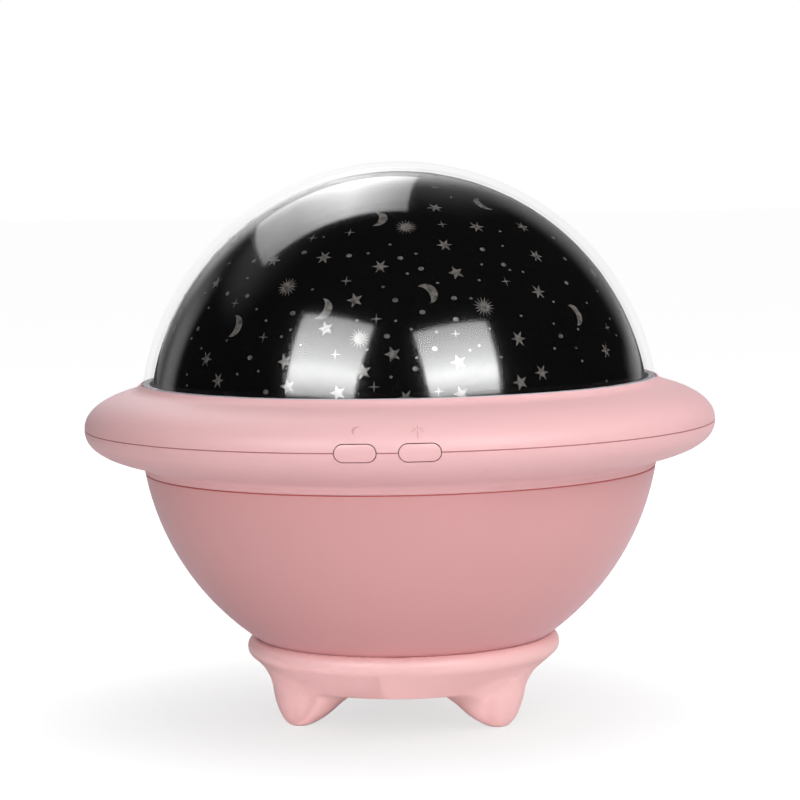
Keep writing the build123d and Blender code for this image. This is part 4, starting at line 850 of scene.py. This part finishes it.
def worked_metal(name, light, dark, rough, lay):
    """Bare or plated metal. The lay stretches its fine scratches along the way it was drawn or turned."""
    finish = Finish(name)
    place = finish.node("ShaderNodeTexCoord", out="Object")
    along = finish.node("ShaderNodeMapping", {}, Vector=place, Scale=lay)
    scratch = finish.node("ShaderNodeTexNoise", {}, Vector=along, Scale=1200.0, Detail=3.0)
    cloud = finish.node("ShaderNodeTexNoise", {}, Vector=place, Scale=150.0, Detail=2.0)
    return finish.plastic(
        Base_Color=finish.mix(cloud, paint(*dark), paint(*light)), Metallic=1.0,
        Roughness=rough + 0.18 * scratch,
        Normal=finish.node("ShaderNodeBump", {}, Height=scratch, Strength=0.15, Distance=0.00002),
    )


dress(
    worked_metal("pressed_steel", (206, 206, 208), (186, 187, 190), 0.26, (1, 1, 0.08)),
    "motor_can", "motor_bracket",
)
dress(worked_metal("gearbox_brass", (214, 178, 104), (196, 156, 84), 0.24, (0.1, 1, 1)), "motor_gearbox")
dress(worked_metal("ground_steel", (212, 212, 214), (196, 197, 200), 0.18, (1, 1, 0.05)), "motor_shaft")

# ------------------------------------------------------------------------------------------------- screws
# Zinc plated self-tapping screws, which join shells, deck, post, boards, cradle, strap and base.
zinc = worked_metal("zinc_plate", (200, 202, 204), (176, 179, 184), 0.28, (1, 1, 0.3))
dress(
    zinc, "motor_screws", "lamp_post_screws", "housing_screws", "base_screws", "main_board_screws",
    "button_board_screws", "usb_board_screws", "cradle_screws", "strap_screws",
)

# ------------------------------------------------------------------------------------------------- boards
# Glass-epoxy boards under a green solder mask, through which the copper tracks show a shade lighter, with
# tinned pads. A controller chip, two capacitors and the leads' nylon plugs are soldered on.
board = Finish("solder_mask")
board_place = board.node("ShaderNodeTexCoord", out="Object")
tracks = board.node(
    "ShaderNodeTexBrick", {"offset": 0.37, "squash": 0.7}, Vector=board_place, out="Fac",
    Scale=420.0, Mortar_Size=0.10, Mortar_Smooth=0.1, Brick_Width=1.6, Row_Height=0.55,
)
pads = 1 - board.node("ShaderNodeTexVoronoi", {}, Vector=board_place, Scale=260.0).above(0.16, 0.02)
weave = board.node("ShaderNodeTexNoise", {}, Vector=board_place, Scale=1600.0, Detail=2.0)
mask_green = board.mix(tracks, paint(18, 88, 52), paint(40, 122, 74))
dress(
    board.plastic(
        Base_Color=board.mix(pads, mask_green, paint(206, 204, 196)), Metallic=0.9 * pads,
        Roughness=0.22 + 0.12 * weave, Coat_Weight=0.3,
        Normal=board.node("ShaderNodeBump", {}, Height=tracks + 0.3 * weave, Strength=0.25, Distance=0.00003),
    ),
    "led_board", "main_board", "button_board", "usb_board",
)
dress(moulded("epoxy_black", paint(34, 34, 35), paint(24, 24, 25), 0.48), "controller_chip")
dress(moulded("capacitor_sleeve", paint(30, 34, 58), paint(20, 24, 44), 0.25), "capacitors")
dress(moulded("plug_nylon", paint(232, 228, 214), paint(220, 215, 199), 0.36), "wire_plugs")

# ----------------------------------------------------------------------------------------------- switches
# Two tact switches in black housings on the button board, each pressed by a black nylon plunger.
black_nylon = moulded("black_nylon", paint(40, 40, 42), paint(30, 30, 32), 0.42)
dress(black_nylon, "left_switch", "right_switch", "left_plunger", "right_plunger")

# ------------------------------------------------------------------------------------------------ battery
# A round cell in a blue shrink sleeve, with welded nickel contacts, lies in a white cradle under a black
# strap.
sleeve = Finish("shrink_sleeve")
sleeve_place = sleeve.node("ShaderNodeTexCoord", out="Object")
sleeve_cloud = sleeve.node("ShaderNodeTexNoise", {}, Vector=sleeve_place, Scale=60.0, Detail=3.0)
sleeve_crease = sleeve.node("ShaderNodeTexNoise", {}, Vector=sleeve_place, Scale=420.0, Detail=1.0)
dress(
    sleeve.plastic(
        Base_Color=sleeve.mix(sleeve_cloud, paint(26, 74, 140), paint(38, 92, 164)),
        Roughness=0.20 + 0.1 * sleeve_cloud,
        Normal=sleeve.node("ShaderNodeBump", {}, Height=sleeve_crease, Strength=0.2, Distance=0.0001),
    ),
    "battery_cell",
)
dress(worked_metal("nickel_strip", (212, 206, 194), (194, 188, 176), 0.20, (0.1, 1, 1)), "battery_contacts")
dress(white_abs, "battery_cradle")
dress(black_nylon, "battery_strap")

# ---------------------------------------------------------------------------------------- charging socket
# A nickel plated steel shell on a small board of its own, sunk in a well at the back of the saucer.
dress(
    worked_metal("plated_shell", (210, 208, 204), (192, 190, 187), 0.22, (0.1, 1, 1)),
    "usb_socket",
)

# -------------------------------------------------------------------------------------------------- leads
# Stranded wire in soft PVC sleeves of red, white and black, from the main board to each part.


def cable_sleeve(name, light, dark):
    """PVC with a soft shine and the faint waves of the strands inside."""
    finish = Finish(name)
    place = finish.node("ShaderNodeTexCoord", out="Object")
    cloud = finish.node("ShaderNodeTexNoise", {}, Vector=place, Scale=90.0, Detail=2.0)
    strands = finish.node("ShaderNodeTexNoise", {}, Vector=place, Scale=700.0, Detail=1.0)
    return finish.plastic(
        Base_Color=finish.mix(cloud, paint(*dark), paint(*light)), Roughness=0.30 + 0.12 * cloud,
        Normal=finish.node("ShaderNodeBump", {}, Height=strands, Strength=0.2, Distance=0.00005),
    )


dress(cable_sleeve("pvc_red", (186, 34, 32), (164, 24, 24)), "led_wire", "battery_wire")
dress(cable_sleeve("pvc_white", (224, 222, 216), (208, 206, 199)), "motor_wire", "button_wire")
dress(cable_sleeve("pvc_black", (42, 42, 44), (30, 30, 32)), "usb_wire")
